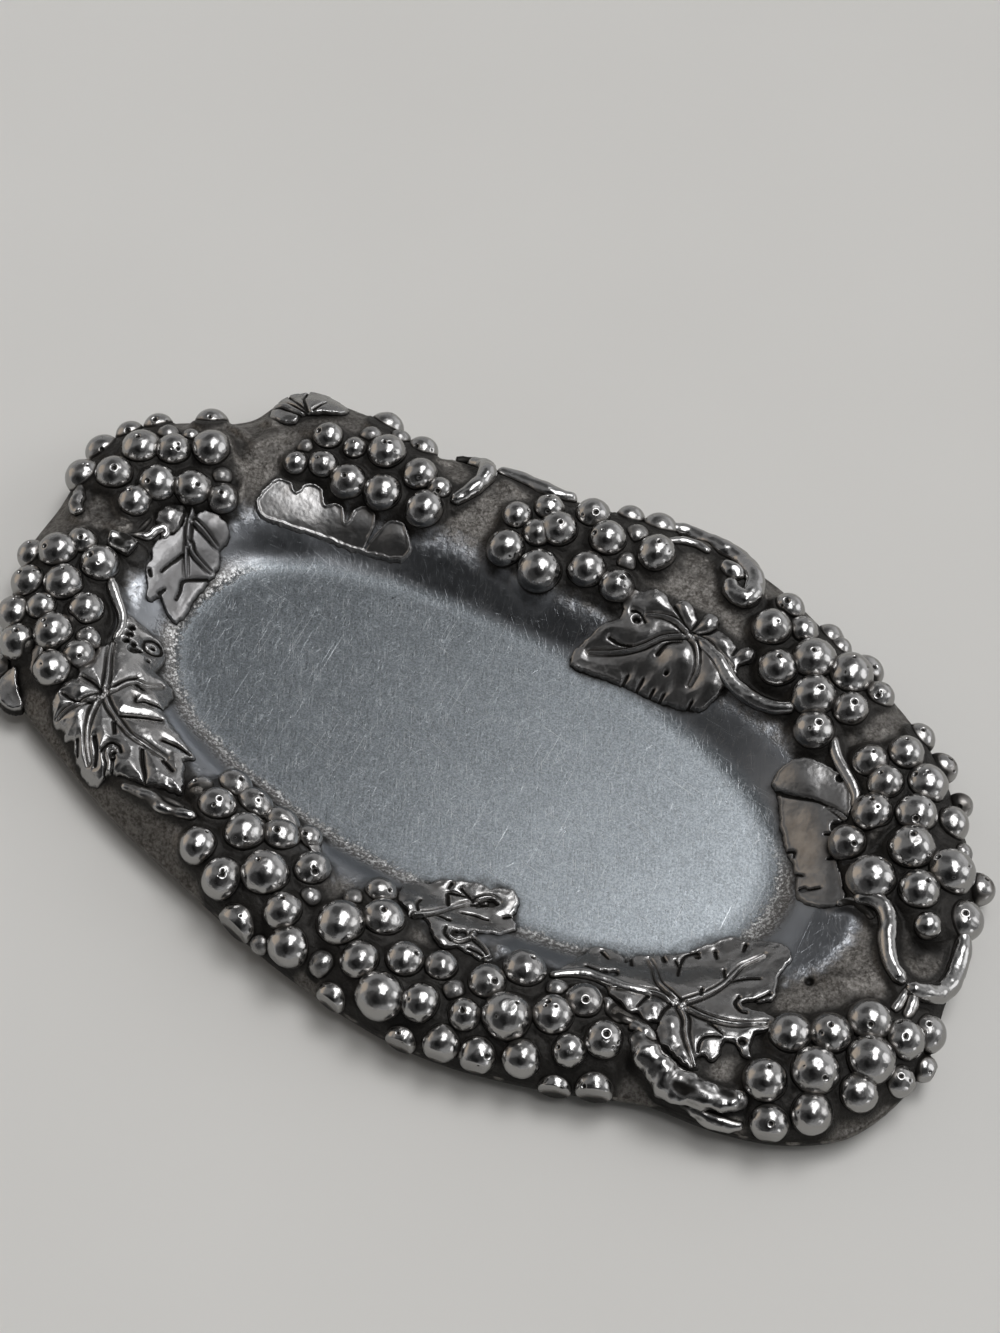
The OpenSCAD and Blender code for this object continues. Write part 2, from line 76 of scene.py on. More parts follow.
# Where the outer edge runs: angle, across
EDGE = [
    (0, 0.95), (12, 0.92), (22, 0.94), (32, 0.92), (45, 0.98), (60, 1.02), (66, 1.04),
    (75, 1.13), (83, 1.17), (90, 1.06), (96, 0.96), (104, 0.97), (110, 0.90), (114, 0.94),
    (120, 1.10), (126, 1.16), (132, 1.15), (137, 0.96), (143, 0.95), (150, 1.02), (160, 1.05),
    (167, 1.02), (178, 0.90), (186, 0.90), (194, 0.86), (203, 0.88), (212, 0.88), (222, 0.84),
    (230, 0.79), (240, 0.79), (250, 0.80), (258, 0.83), (266, 0.90), (272, 0.97), (280, 1.00),
    (286, 0.97), (294, 0.92), (302, 0.88), (309, 0.86), (316, 0.98), (324, 1.08), (333, 1.14),
    (343, 1.10), (352, 1.05), (360, 0.95)]

# ---- grapes: angle, across, diameter ----

BUD, SMALL, MID, LARGE, GIANT = 5.0, 6.0, 7.0, 8.0, 9.5
# How much fuller than in the CAD model each size is cast
FULLER = {BUD: 1.16, SMALL: 1.15, MID: 1.14, LARGE: 1.09, GIANT: 1.05}
GRAPES = {
    "grape_bunch_back_left": [
        (127, 0.76, SMALL), (123, 0.71, BUD), (118, 0.72, LARGE), (118, 1.02, MID),
        (113, 0.87, SMALL), (134, 0.56, BUD), (129, 0.57, SMALL), (125, 0.48, LARGE),
        (119, 0.46, LARGE), (113, 0.63, MID), (112, 0.42, LARGE), (110, 0.58, BUD)],
    "grape_bunch_back_middle": [
        (99, 0.60, SMALL), (96, 0.74, SMALL), (92, 0.84, MID), (90, 1.00, SMALL), (88, 1.04, MID),
        (96, 0.55, SMALL), (94, 0.63, LARGE), (90, 0.72, LARGE), (86, 0.79, LARGE),
        (99, 0.38, LARGE), (94, 0.34, GIANT), (90, 0.48, LARGE), (87, 0.48, MID)],
    "grape_bunch_back_right": [
        (72, 0.97, SMALL), (70, 0.76, LARGE), (68, 0.88, SMALL), (67, 1.02, SMALL),
        (65, 1.00, BUD), (64, 0.58, LARGE), (63, 0.76, GIANT), (59, 0.85, GIANT), (61, 1.02, MID),
        (57, 0.59, GIANT), (53, 0.69, MID), (55, 0.90, SMALL), (51, 0.46, LARGE)],
    "grape_bunch_right_end": [
        (48, 0.96, SMALL), (42, 0.59, MID), (43, 0.78, MID), (43, 0.98, SMALL), (37, 0.60, MID),
        (37, 0.80, LARGE), (36, 0.97, BUD), (30, 0.48, LARGE), (30, 0.68, LARGE), (30, 0.85, MID),
        (22, 0.33, MID), (22, 0.62, GIANT), (13, 0.44, GIANT), (13, 0.66, LARGE),
        (19, 0.80, GIANT), (20, 0.95, SMALL), (12, 0.88, LARGE), (7, 0.74, BUD)],
    "grape_bunch_front_right": [
        (335, 0.64, LARGE), (341, 0.72, LARGE), (348, 0.77, LARGE), (354, 0.97, MID),
        (350, 0.93, MID), (326, 0.83, LARGE), (334, 0.85, GIANT), (343, 0.91, GIANT),
        (350, 1.05, BUD), (345, 1.03, SMALL), (338, 1.00, MID), (330, 1.01, LARGE),
        (324, 1.00, MID)],
    "grape_bunch_front_mid_right": [
        (288, 0.53, MID), (293, 0.37, LARGE), (286, 0.75, SMALL), (291, 0.68, GIANT),
        (297, 0.59, LARGE), (302, 0.46, MID), (299, 0.74, SMALL), (304, 0.65, MID),
        (293, 0.84, MID), (288, 0.89, MID), (297, 0.89, SMALL), (302, 0.85, MID)],
    "grape_bunch_front_middle": [
        (272, 0.28, SMALL), (271, 0.60, GIANT), (274, 0.44, LARGE), (274, 0.73, MID),
        (278, 0.61, MID), (282, 0.55, SMALL), (277, 0.85, GIANT), (281, 0.79, MID),
        (273, 0.93, SMALL), (280, 0.96, SMALL), (284, 0.91, MID)],
    "grape_bunch_front_left": [
        (247, 0.37, BUD), (251, 0.39, MID), (248, 0.20, SMALL), (253, 0.22, SMALL),
        (257, 0.43, LARGE), (258, 0.22, SMALL), (260, 0.31, MID), (262, 0.20, BUD),
        (255, 0.65, MID), (263, 0.57, GIANT), (266, 0.39, MID), (260, 0.72, LARGE),
        (264, 0.84, LARGE), (267, 0.70, MID), (269, 0.84, LARGE)],
    "grape_bunch_left_end": [
        (187, 0.68, LARGE), (188, 0.82, SMALL), (183, 0.60, SMALL), (186, 0.46, LARGE),
        (194, 0.58, LARGE), (195, 0.76, MID), (202, 0.80, MID), (201, 0.66, SMALL),
        (199, 0.44, MID), (207, 0.60, LARGE), (209, 0.78, MID), (207, 0.43, BUD),
        (212, 0.49, SMALL), (216, 0.64, MID)],
    "grape_bunch_left_back": [
        (165, 1.00, MID), (161, 0.81, LARGE), (154, 1.00, SMALL), (159, 1.02, SMALL),
        (145, 0.96, MID), (156, 0.72, MID), (149, 0.67, LARGE), (169, 0.75, LARGE),
        (172, 0.90, LARGE), (164, 0.57, LARGE), (158, 0.47, LARGE), (171, 0.55, MID),
        (153, 0.37, SMALL)]}

# ---- stems: strands, each a thickness, roughness and path in plan coordinates ----

STEMS = {
    "stem_back_left": [
        (3.6, 0.2, [-38, 60, -34, 59.6, -31, 56, -31.4, 50.5, -33.4, 46]),
        (2.4, 0.5, [-41, 59.4, -38.5, 61, -35, 61.6])],
    "stem_back_edge": [
        (3.6, 0.2, [-31, 60.4, -24, 61.2, -17.5, 60.8, -12, 62.6])],
    "stem_back_right": [
        (3.2, 0.08, [28.4, 44.2, 34, 42.2, 38.6, 39.4, 43.6, 37.9, 48.4, 37.7, 51.6, 38.8,
         54.2, 40.6])],
    "scroll_back_right": [
        (4.2, 0.15, [7, 66, 12, 69, 18, 68.6, 25, 67.6, 31, 62.8, 32.6, 57.4, 29, 57, 27, 60]),
        (2.2, 0.2, [10.5, 61.5, 13, 63.8, 16, 65, 19.5, 64.4]),
        (3.4, 0.3, [23.4, 62.6, 26.4, 62.2, 28.6, 60.6])],
    "tendril_right_end": [
        (2.4, 0.1, [62.8, 38.2, 64.6, 35.8, 67.2, 33.2, 70.4, 31, 73.4, 28.4, 75, 25.2])],
    "vine_loop_right_end": [
        (3.7, 0.1, [84, 7.4, 87, 8.8, 90, 8.4, 92.4, 5.8, 94.2, 1.6, 97.2, -2.2, 101, -4.4]),
        (4.0, 0.12, [104.6, 14.4, 106.2, 10.8, 107.4, 6.6, 107.8, 2.6, 107, -1, 104.6, -3.5,
         101.4, -4.6]),
        (2.4, 0.2, [103.2, -4.4, 104.3, -8, 104.3, -11.4]),
        (2.0, 0.2, [101.8, -4.6, 102, -8, 101.6, -10.6]),
        (2.0, 0.6, [81.4, 5.4, 84.4, 6.9, 87.4, 6.3, 89.6, 5.3])],
    "stem_front_right": [
        (3.2, 0.5, [54, -37.6, 56.6, -38.6, 59.4, -39, 62.4, -38.4]),
        (5.0, 0.42, [62.6, -40.4, 65.4, -42.4, 68.8, -44.2, 72.6, -44.9, 76.6, -44.4, 80.6, -43.8,
         84.6, -42.6, 86.8, -40.2]),
        (3.0, 0.5, [76, -46.3, 79.8, -46.2, 83.4, -45.7, 86.2, -44.9, 88.6, -43.8]),
        (2.2, 0.4, [69.2, -44.8, 69.4, -43.4, 69.8, -42]),
        (2.8, 0.5, [60.8, -39.4, 63.6, -39.4, 66.8, -40.6])],
    "stem_front_middle": [
        (2.4, 0.1, [61, -30.4, 56.2, -32, 52, -32.7, 48.3, -33.4, 44.9, -35.4, 42.2, -38])],
    "twig_front_left": [
        (2.4, 0.25, [-52, -47.4, -48.6, -47.3, -45, -47.1, -41.4, -47.6, -37.4, -46.8,
         -34.4, -45.8]),
        (1.6, 0.3, [-45.6, -45.9, -41.6, -46.1, -37.6, -45.4])],
    "stem_left_end": [
        (2.4, 0.1, [-88, -4.4, -85, -7.2, -82.2, -9.3, -79.6, -11.4, -76.9, -13.5, -75.2, -16.3,
         -74.5, -19.6])],
    "twig_left_edge": [
        (3.0, 0.3, [-103.6, 8.6, -102.4, 5.8, -101, 3, -98.6, 1.6]),
        (2.0, 0.15, [-88.6, 1.7, -85.7, 4.1, -83.9, 5.3, -83.5, 7.4, -82.5, 9, -81.3, 8.3,
         -81.5, 6.6]),
        (4.4, 0.3, [-89.6, -0.8, -86.8, 0.3, -83.8, 0.4]),
        (1.2, 0.3, [-86.1, 9.6, -86, 7, -86.4, 4.4]),
        (1.3, 0.3, [-87.2, 7.6, -87.6, 4.6])]}


# ---- leaves, drawn in plan coordinates: x, y, x, y and so on ----

@dataclass
class Leaf:
    """One blade of a leaf, with the node it belongs to."""
    node: str
    outline: list
    veins: tuple = ()               # raised ribs with a groove on each side
    cuts: tuple = ()                # plain grooves
    holes: tuple = ()               # x, y, radius
    bumps: tuple = ()               # x, y, radius, height
    puff: float = 0.35              # how high it swells between its veins
    rib: float = 0.3                # half the width of a vein where it starts
    blade: float = 1.0              # height of its flat parts over the rim
    lip: float = 0.06               # height of the raised line along its edge
    matt_and_painted_shade: float = 0.12             # how matt it is, and how far painted shade darkens its colour in place of dark reflections, from 0 to 1


LEAVES = [
    Leaf("leaf_front_left", puff=1.2, rib=0.36, outline=[-77.6, -13, -76.4, -12.2, -73, -12,
        -69, -12, -66.8, -13.6, -65.3, -16, -64.9, -18.4, -64.2, -19.6, -60.8, -19.8, -58.8, -21.4,
        -57.6, -24.4, -56.4, -27.4, -53, -29.2, -49.6, -30.8, -46.6, -32.2, -44, -33.6, -45, -35.4,
        -44.2, -36.8, -42.6, -39.2, -40, -42.6, -41.4, -43.3, -44.2, -44, -47.4, -45, -50.4, -45.6,
        -53.4, -46, -55.6, -46.8, -57.4, -49, -60, -48.8, -63, -47.4, -65.4, -45.6, -67, -43.6,
        -68.6, -44.2, -70, -42.9, -72.6, -42.6, -74.6, -40.6, -76, -37.6, -75.6, -34, -74.6, -31.8,
        -75.8, -29.6, -75.4, -26.4, -75.8, -23.4, -74.8, -20.6, -74.8, -18.6, -75.8, -15.8],
        veins=[[-67.5, -32.2, -69.3, -28.6, -71.4, -25.4, -73.2, -22.6, -74.3, -20.6],
        [-67.4, -32, -66.5, -29.4, -65.8, -27, -64.6, -25.2, -62.8, -24.4, -61.4, -22],
        [-67.5, -32.2, -64.2, -34.4, -60.5, -36.1, -56.8, -37.5, -52.6, -37.7, -48, -37.9],
        [-67.5, -32.4, -67.3, -34.6, -66.4, -37.8, -64.9, -41.1, -63, -44, -60.8, -46.4],
        [-67.6, -33, -69.6, -36.2, -71.4, -39, -72.4, -41.6], [-55.8, -46.6, -56.6, -44.9,
        -58, -43.8, -58.7, -42.6, -57.8, -41.7]],
        cuts=[[-67.6, -32, -70.6, -31.3, -73.8, -31.1], [-56.6, -27.2, -58.6, -27.9, -60.4, -28.6,
        -61.3, -29.7, -62.2, -28.8], [-61.6, -34.8, -59, -33, -56.8, -31.5, -54.8, -30.2],
        [-61.4, -36.8, -59.7, -38.9], [-53, -38.8, -50.9, -41.4, -49, -43.3, -47.9, -44.8],
        [-66.9, -29.4, -66.3, -26.2, -65.4, -24.4], [-64.4, -25.8, -62.4, -26], [-51.2, -34.4,
        -48, -33.8, -44.8, -34], [-48, -38.6, -45, -39.6], [-59.6, -43.4, -59.2, -41.3,
        -57.4, -40.8, -55.9, -41.8], [-66, -43.4, -64.2, -46], [-62.8, -41.6, -60.6, -43.8,
        -59.2, -46.4], [-68.4, -35.6, -71, -36.8, -74.6, -36.6], [-70.4, -15, -69.8, -13.7,
        -68.6, -13.2, -67.4, -13.7, -66.8, -15, -67.4, -16.3, -68.6, -16.9, -69.8, -16.3,
        -70.4, -15]],
        holes=[(-73.6, -14.8, 0.7), (-73, -16.4, 0.8), (-72.4, -18.2, 0.7), (-71, -17.8, 0.6),
        (-70.1, -19, 0.9), (-69.3, -18.3, 0.6), (-68.4, -15.2, 0.5), (-66.7, -18.9, 0.4),
        (-57, -42.8, 0.6), (-56.4, -43.8, 0.5)],
        bumps=[(-71, -34, 1.8, 0.5), (-68.4, -38.8, 1.6, 0.5), (-57, -39.6, 3, 0.3)]),
    Leaf("leaf_front_right", rib=0.4, outline=[43, -35.6, 43.6, -32, 43.8, -28, 44.2, -25.2,
        45.4, -23.8, 48.4, -23.2, 50.8, -23.6, 51.9, -24.9, 52.2, -22.6, 53.4, -21.2, 56, -19.6,
        58.8, -17.6, 60.8, -15.6, 62, -13.6, 64, -11.2, 66, -8.5, 68.6, -7.6, 71.4, -6.8,
        74.2, -6.4, 76.8, -6.7, 78.6, -7.8, 79.8, -9.8, 79.4, -12.2, 79.7, -14.6, 80.5, -17,
        81, -19.4, 79.4, -21, 77.4, -21.8, 76.4, -23.2, 78.6, -23.6, 80.6, -22.8, 83.4, -22.9,
        84.2, -24.4, 83.4, -26.6, 81.8, -28.4, 82.4, -30.8, 83.6, -33.2, 81.6, -33.2, 79.4, -31.6,
        77.6, -32.6, 78.2, -35, 78, -37.6, 75.8, -37.4, 74.8, -38.2, 76.2, -40.2, 74.2, -41,
        71.6, -40.6, 69.6, -39.8, 67.6, -39.6, 65.8, -37.8, 65, -35.9, 62.8, -36.8, 60.4, -35.9,
        59.4, -36.8, 56.8, -35.8, 54.2, -35.3, 52.4, -33.8, 48.6, -33.2, 45, -35],
        veins=[[66.4, -29.8, 68.4, -26.8, 70, -24, 71.1, -20.8, 71.5, -17.4, 71.9, -14.4,
        73.4, -12, 74.4, -10.4], [66.2, -29.6, 63.4, -28.4, 60.6, -27.1, 58.9, -25.3, 57.2, -23.1,
        55.2, -21.5], [65.6, -30, 62, -29.8, 58.8, -30.8, 56, -32, 53.6, -33.6], [66.8, -29.8,
        70.6, -29.9, 74.4, -29.4, 77.6, -28.2, 80.4, -26.6, 82.6, -25], [66.8, -30.2, 69.2, -32.4,
        70.7, -35, 72.4, -37, 74.4, -39, 75.6, -40.2]],
        cuts=[[72.2, -19.4, 73.2, -18.4, 74.8, -17.2, 76.6, -16.4], [62.6, -15.2, 61, -16.8,
        61, -19.2, 61.8, -21.6, 62.3, -22.8], [61.2, -20, 59.8, -19], [58, -20.2, 56.6, -19],
        [69.8, -9, 70.2, -10.6], [65.4, -13.2, 66.4, -14.4], [69.3, -17, 70.4, -18.8], [68.1, -24,
        68.9, -25.8], [53.2, -24.8, 52, -23], [46.6, -25, 48.6, -25.9], [79.9, -18.8, 78.2, -21.4,
        76.4, -23], [75.2, -22.4, 75.3, -23.9, 77, -25, 78.2, -24.8], [65, -30.8, 64.8, -33,
        65.1, -35.8], [73.6, -30.7, 76.6, -31.6], [60.4, -31.6, 60.1, -34.8], [46.6, -31.3,
        49.4, -31, 51.8, -30.6], [76.6, -32.4, 74, -34.6, 74.6, -37.4]],
        holes=[(52, -29.7, 1.0), (50.6, -30.6, 0.8), (63, -16, 0.5), (80.6, -31, 0.7)],
        bumps=[(62.9, -33.2, 1.8, 0.9), (67.3, -34.6, 2.1, 0.9), (69.2, -37.4, 1.6, 0.7),
        (74.6, -33, 2.3, 0.8), (57.4, -33.9, 1.6, 0.5), (72.6, -39.2, 1.3, 0.5),
        (81, -27.4, 1.6, 0.5)]),
    Leaf("leaf_front_middle", rib=0.34, outline=[6.2, -34.4, 6.4, -32.4, 7.9, -30.8, 9.6, -29.8,
        10.6, -28.3, 12.1, -27.1, 13.8, -26.3, 15.8, -25.6, 17.3, -24.6, 19.7, -24.3, 20.7, -24.5,
        21.5, -23.4, 23.2, -22.6, 24.3, -22.1, 25.6, -22.7, 26.9, -23.8, 27.4, -25.4, 27.6, -27.1,
        29.1, -28.4, 29.6, -29.8, 29, -31.2, 28.4, -33, 26.6, -34.6, 25.4, -35.6, 25.2, -37.2,
        27.8, -38, 29.6, -39, 31, -40.4, 30.8, -41.8, 29, -42, 25.8, -42, 23.9, -42, 22.7, -43.3,
        21.2, -43.7, 19.2, -42.8, 18, -41.8, 16.5, -40.4, 15, -39.6, 13.1, -40.8, 12.1, -41,
        11.2, -39.9, 9.6, -39.4, 7.9, -38.4, 6.9, -36.4],
        veins=[[13.2, -40.2, 15.2, -37.7, 16.2, -35.2, 16.9, -32.6, 18.2, -30.3, 19.6, -29],
        [19.8, -28.4, 20.8, -27, 22, -26.2, 23.6, -26.2], [24.8, -36.8, 24.6, -38.8, 23.4, -40.6,
        21.4, -40.6, 20.8, -39], [25.4, -38, 28.4, -38.9, 30.2, -40.2, 29.6, -41.4]],
        cuts=[[19.4, -29.6, 21.7, -28.3, 23.8, -26.6], [15.8, -32.5, 14.8, -31, 14.2, -29.8,
        15.8, -29.1, 17.3, -28.6], [15.8, -27.5, 17.3, -28.1, 19.2, -28.6, 20.7, -28.5],
        [19.2, -32.8, 21.2, -31.8, 23.2, -31.4, 24.2, -31], [26.4, -28.6, 27.4, -27.7],
        [16.5, -37.2, 19, -37], [11.3, -35.5, 11.7, -37.2, 12.8, -38.6], [13.5, -27.7,
        13.6, -28.8], [19.6, -39.2, 20.5, -40.9, 22.2, -41.6], [26, -41, 28, -40.8, 29.4, -41],
        [26.4, -35.2, 28.8, -34.6]],
        holes=[(18.9, -37, 0.5), (21.9, -39.1, 0.8), (23, -38.3, 0.8), (22.6, -27.1, 0.8)],
        bumps=[(20.6, -42, 2.0, 0.8), (18.6, -39.4, 2, 0.5), (11, -38.2, 1.2, 0.6)]),
    Leaf("leaf_back_right", puff=0.75, rib=0.34, matt_and_painted_shade=0.2, outline=[7.1, 35.5, 8.4, 38.5,
        10.9, 41.1, 10.6, 43.2, 9, 46, 10.6, 47.6, 13, 48.6, 14.4, 50, 17, 50, 19.5, 48.6,
        20.6, 50.4, 23.4, 50.4, 26, 48.2, 26.9, 50.6, 29.6, 50.2, 31, 48, 34, 47.6, 36.4, 46.4,
        38, 47.6, 40, 47.3, 40.4, 45, 38.6, 43.2, 39.4, 40.6, 38.2, 37.6, 37.4, 34.8, 35.6, 32.2,
        30.5, 31.2, 25.4, 30.7, 20.3, 30.7, 15.2, 30.2, 10.2, 29.4, 6.6, 29.4, 5.6, 32],
        veins=[[26, 43.8, 23.6, 42.6, 21.4, 41.2, 19.2, 38.6, 16.6, 36.6, 13.4, 35, 10.4, 33.8,
        8.8, 33.2], [26.2, 43.8, 28.4, 42.8, 30.2, 40.8, 31.4, 38.2, 31.5, 35.4], [25.6, 44.4,
        22.4, 45.5, 19, 45.3, 16, 44], [26.4, 44.2, 30, 44.2, 33.6, 43, 37.4, 41.6]],
        cuts=[[26.2, 49, 26.4, 47, 26, 45], [19.6, 48.6, 22.4, 46.8, 25, 45.4], [30.6, 48,
        29.6, 46.2, 27, 44.8], [18.6, 30.4, 18.5, 32.6], [21.8, 30.6, 21.8, 33.2], [24.9, 31,
        24.9, 32.4], [27.3, 31, 27.3, 32.4], [33.4, 31.6, 33.5, 33], [11.4, 37, 14, 36.8,
        16.4, 37.4], [22.3, 38, 23, 40.6, 25.4, 42], [13, 43.6, 14.6, 43.8, 16.6, 42.6],
        [36.6, 46.4, 36.4, 44.4]], holes=[(14.7, 42.3, 0.8), (25.9, 35.5, 0.5)],
        bumps=[(27.2, 39, 3.4, 1.4), (16.4, 48, 2.2, 0.7), (22.6, 48.4, 2.2, 0.8),
        (28.6, 47.8, 1.8, 0.7), (33, 45, 2.4, 0.7), (38.8, 45.6, 1.4, 0.5), (35, 37.6, 2.2, 0.5)]),
    Leaf("leaf_back_left", puff=0.1, blade=0.35, lip=0.42, matt_and_painted_shade=0.25, outline=[-70.3, 25.4,
        -70.4, 28.6, -69.9, 31.4, -68.4, 33, -66, 33.4, -64.2, 32.2, -63.6, 34.4, -61.6, 36,
        -59.2, 35.6, -57.4, 33.4, -55.6, 34.8, -53.2, 34.4, -51.6, 32.4, -51.5, 35.4, -49.7, 37.3,
        -47.2, 37, -45.3, 34.8, -45.4, 32, -44, 35.6, -42.6, 37.5, -40, 37.6, -37.8, 36.2,
        -35.8, 33.6, -37, 31.4, -40.1, 30.2, -44.3, 29.2, -48.5, 28.3, -52.6, 27.5, -56.8, 26.4,
        -60.1, 25.2, -63.4, 24.2, -67.4, 23.4], cuts=[[-45.4, 35.6, -45.3, 32.8, -45.4, 30.4]],
        bumps=[(-40, 33.6, 3, 0.7)]),
    Leaf("leaf_back_left_edge", outline=[-74, 49, -70.4, 52, -67, 54.6, -67.4, 57.2, -70, 58.6,
        -75, 59.2, -78.6, 58.6, -80.5, 56.8, -82.2, 54.8, -82.8, 51.4, -81.9, 48, -80, 45.6,
        -76.6, 45, -74, 46.5],
        cuts=[[-73.4, 50.4, -78, 52.4, -82.5, 55.2], [-74, 50.8, -77.6, 54.6, -79, 58.6],
        [-73.4, 49.8, -78.6, 51, -83, 51.6], [-74, 48.6, -78.6, 48.6, -82, 48.2], [-72.6, 51.4,
        -72, 55]], bumps=[(-74, 56, 4, 0.9), (-80, 49.6, 1.8, 0.8)]),
    Leaf("leaf_right_end", puff=0.25, blade=0.8, lip=0.15, matt_and_painted_shade=0.3, outline=[57, 24.6,
        56.6, 26.8, 58, 29.6, 60.6, 31.4, 64, 31.8, 67.4, 31.5, 71, 30, 73.2, 27.4, 74.2, 24.8,
        74.4, 22.4, 72, 21, 73.6, 18.8, 74.8, 16.4, 76.9, 14.4, 78.9, 12, 80.9, 9.4, 82.6, 7,
        81.6, 4.9, 79.2, 3.6, 76.8, 3.6, 73.4, 4.8, 71.7, 7.8, 69.4, 11.2, 65.8, 14.4, 63.4, 17.2,
        61, 20.4, 59.8, 22.6], veins=[[75, 22.4, 72.6, 23.4, 69.6, 24]],
        cuts=[[58.2, 23.7, 61, 23.5, 64, 23.7, 67.7, 24.2, 71, 23.8, 74, 22.9], [66.2, 13.4,
        67.9, 14.1, 68.4, 13], [70.4, 9.6, 72.2, 9.6], [73.2, 6.6, 75, 6.8, 76.8, 7.6], [73.4, 19,
        72, 18.6], [76.6, 14.6, 75.2, 14]], holes=[(73.9, 6.7, 0.6), (68.9, 30.2, 0.7)],
        bumps=[(61.5, 27, 4.4, 0.8)]),
    Leaf("leaf_left_end", puff=0.25, rib=0.34, matt_and_painted_shade=0.55, outline=[-80.6, 16.6, -79.2, 16,
        -78.2, 17.6, -76.6, 18.2, -74.6, 18.6, -72.2, 18, -70.9, 15.4, -71.3, 13, -69.9, 11,
        -69.5, 8, -69.6, 5, -69.6, 1.8, -69.2, -2, -69, -4.6, -69.8, -6, -72.2, -5.5, -73.8, -4.4,
        -74.8, -3.7, -75.4, -6, -76.4, -6.1, -77.6, -4.4, -78.9, -2.6, -80.3, -0.6, -80.6, 1.8,
        -81.7, 3, -82, 5.4, -81.3, 7.4, -80.3, 9, -79.9, 11.4, -80.5, 14],
        veins=[[-79.9, 16.2, -78.7, 12.9, -77.2, 10.2, -76, 7.7, -74.8, 5.8, -73.4, 3.8],
        [-78.2, 14.1, -76, 13.8, -73.6, 13.3, -71.8, 12.9], [-76.4, 9.6, -74.9, 8.5, -72.8, 8.2,
        -70.3, 8]],
        cuts=[[-70, 6.4, -72.2, 4.2, -73.3, 2.3, -72.6, 0.2, -72.2, -1.8], [-76.2, 6.8,
        -76.6, 4.8, -77, 2.8, -77.2, 0.6], [-79.2, -1, -78.2, -1.8], [-75, -3.6, -74.8, -2]],
        bumps=[(-74.6, 15.8, 2.0, 0.4)]),
    Leaf("leaf_left_end", outline=[-84.9, 9.4, -85.4, 11.6, -84.6, 13.8, -83, 15.4, -81.8, 16,
        -80.7, 14, -80, 11.6, -80.3, 9.4, -82.4, 9], bumps=[(-82.7, 12, 2.6, 1.2)]),
    Leaf("leaf_front_scallops", outline=[-36, -35.3, -35.1, -33, -32.1, -32, -29, -31.6,
        -30, -33.4, -31.3, -35.2, -33, -36.3, -35, -36.1], bumps=[(-32.6, -34.4, 2.4, 0.6)]),
    Leaf("leaf_front_scallops", outline=[-28.9, -35.1, -28.4, -32.8, -26.6, -32, -24.4, -32.6,
        -23.3, -35.5, -23.6, -37.7, -25.4, -38.2, -27.5, -37], bumps=[(-25.8, -35.4, 2.2, 0.6)]),
    Leaf("leaf_front_scallops", outline=[-23.6, -32.6, -20.6, -33, -17.4, -34, -17.8, -36.4,
        -18.8, -37, -21.3, -36, -22.8, -34.4], bumps=[(-19.8, -35, 1.9, 0.6)]),
    Leaf("leaf_front_scallops", outline=[-16.4, -34.2, -12.6, -35.8, -10, -38.2, -11.7, -39,
        -14.2, -38.2, -16, -36.3], bumps=[(-13.2, -36.8, 1.9, 0.6)]),
    Leaf("leaf_left_edge", outline=[-84.5, -25.6, -82, -28, -81.4, -32, -83.2, -35.6, -85.8, -33,
        -86.4, -29], cuts=[[-84.8, -27, -83.6, -31, -83.4, -34.6]],
        bumps=[(-84.6, -29.6, 2.4, 0.8)]),
    Leaf("leaf_left_edge", outline=[-88.4, -35, -85.6, -38.2, -82.2, -41.4, -85.4, -43, -89, -41.2,
        -90.6, -37.6], cuts=[[-84.6, -36.4, -82.6, -40]], bumps=[(-87.4, -39.2, 3, 0.8)]),
    Leaf("leaf_left_edge", outline=[-92, -33, -90, -35.6, -91.6, -38.4, -94, -36],
        bumps=[(-92, -35.6, 1.8, 0.6)])]


# ---- numbers, noise and curves ----

def smooth(low, high, x):
    """0 below low, 1 above high, with a smooth step between."""
    t = np.clip((x - low) / (high - low), 0, 1)
    return t * t * (3 - 2 * t)


def noise(points, scale, seed):
    """Value noise from -1 to 1; scale is the size of a feature in millimetres."""
    p = np.asarray(points, float) / scale
    cell = np.floor(p).astype(np.int64)
    f = p - cell
    f = f * f * (3 - 2 * f)
    total = np.zeros(len(p))
    for corner in range(8):
        step = np.array([corner & 1, (corner >> 1) & 1, corner >> 2])
        k = (cell + step) @ np.array([374761393, 668265263, 1442695041]) + seed * 1274126177
        k = (k ^ (k >> 13)) * 1103515245
        k = ((k ^ (k >> 16)) & 0xFFFF) / 32767.5 - 1
        total += k * np.prod(np.where(step == 1, f, 1 - f), axis=1)
    return total


def layered(points, scale, seed):
    """Noise with two finer layers, each of half the size and half the strength."""
    return sum(noise(points, scale / 2 ** i, seed + i) / 2 ** i for i in range(3))


def blurred(field, sigma):
    """Gaussian blur of a 2-D field, sigma in cells."""
    fy = np.fft.fftfreq(field.shape[0])[:, None]
    fx = np.fft.rfftfreq(field.shape[1])[None, :]
    kernel = np.exp(-2 * (math.pi * sigma) ** 2 * (fx ** 2 + fy ** 2))
    return np.fft.irfft2(np.fft.rfft2(field) * kernel, s=field.shape)


def rounded(values, beyond, step, sigma, reach):
    """Gaussian blur of values a step apart, which go on beyond their ends as named."""
    kernel = np.exp(-0.5 * (np.arange(-reach, reach + 1) * step / sigma) ** 2)
    return np.convolve(np.pad(values, reach, beyond), kernel / kernel.sum(), "valid")


def unit(v):
    return v / np.linalg.norm(v)


def pairs(flat):
    """x, y, x, y and so on as an array of points."""
    return np.reshape(np.array(flat, float), (-1, 2))


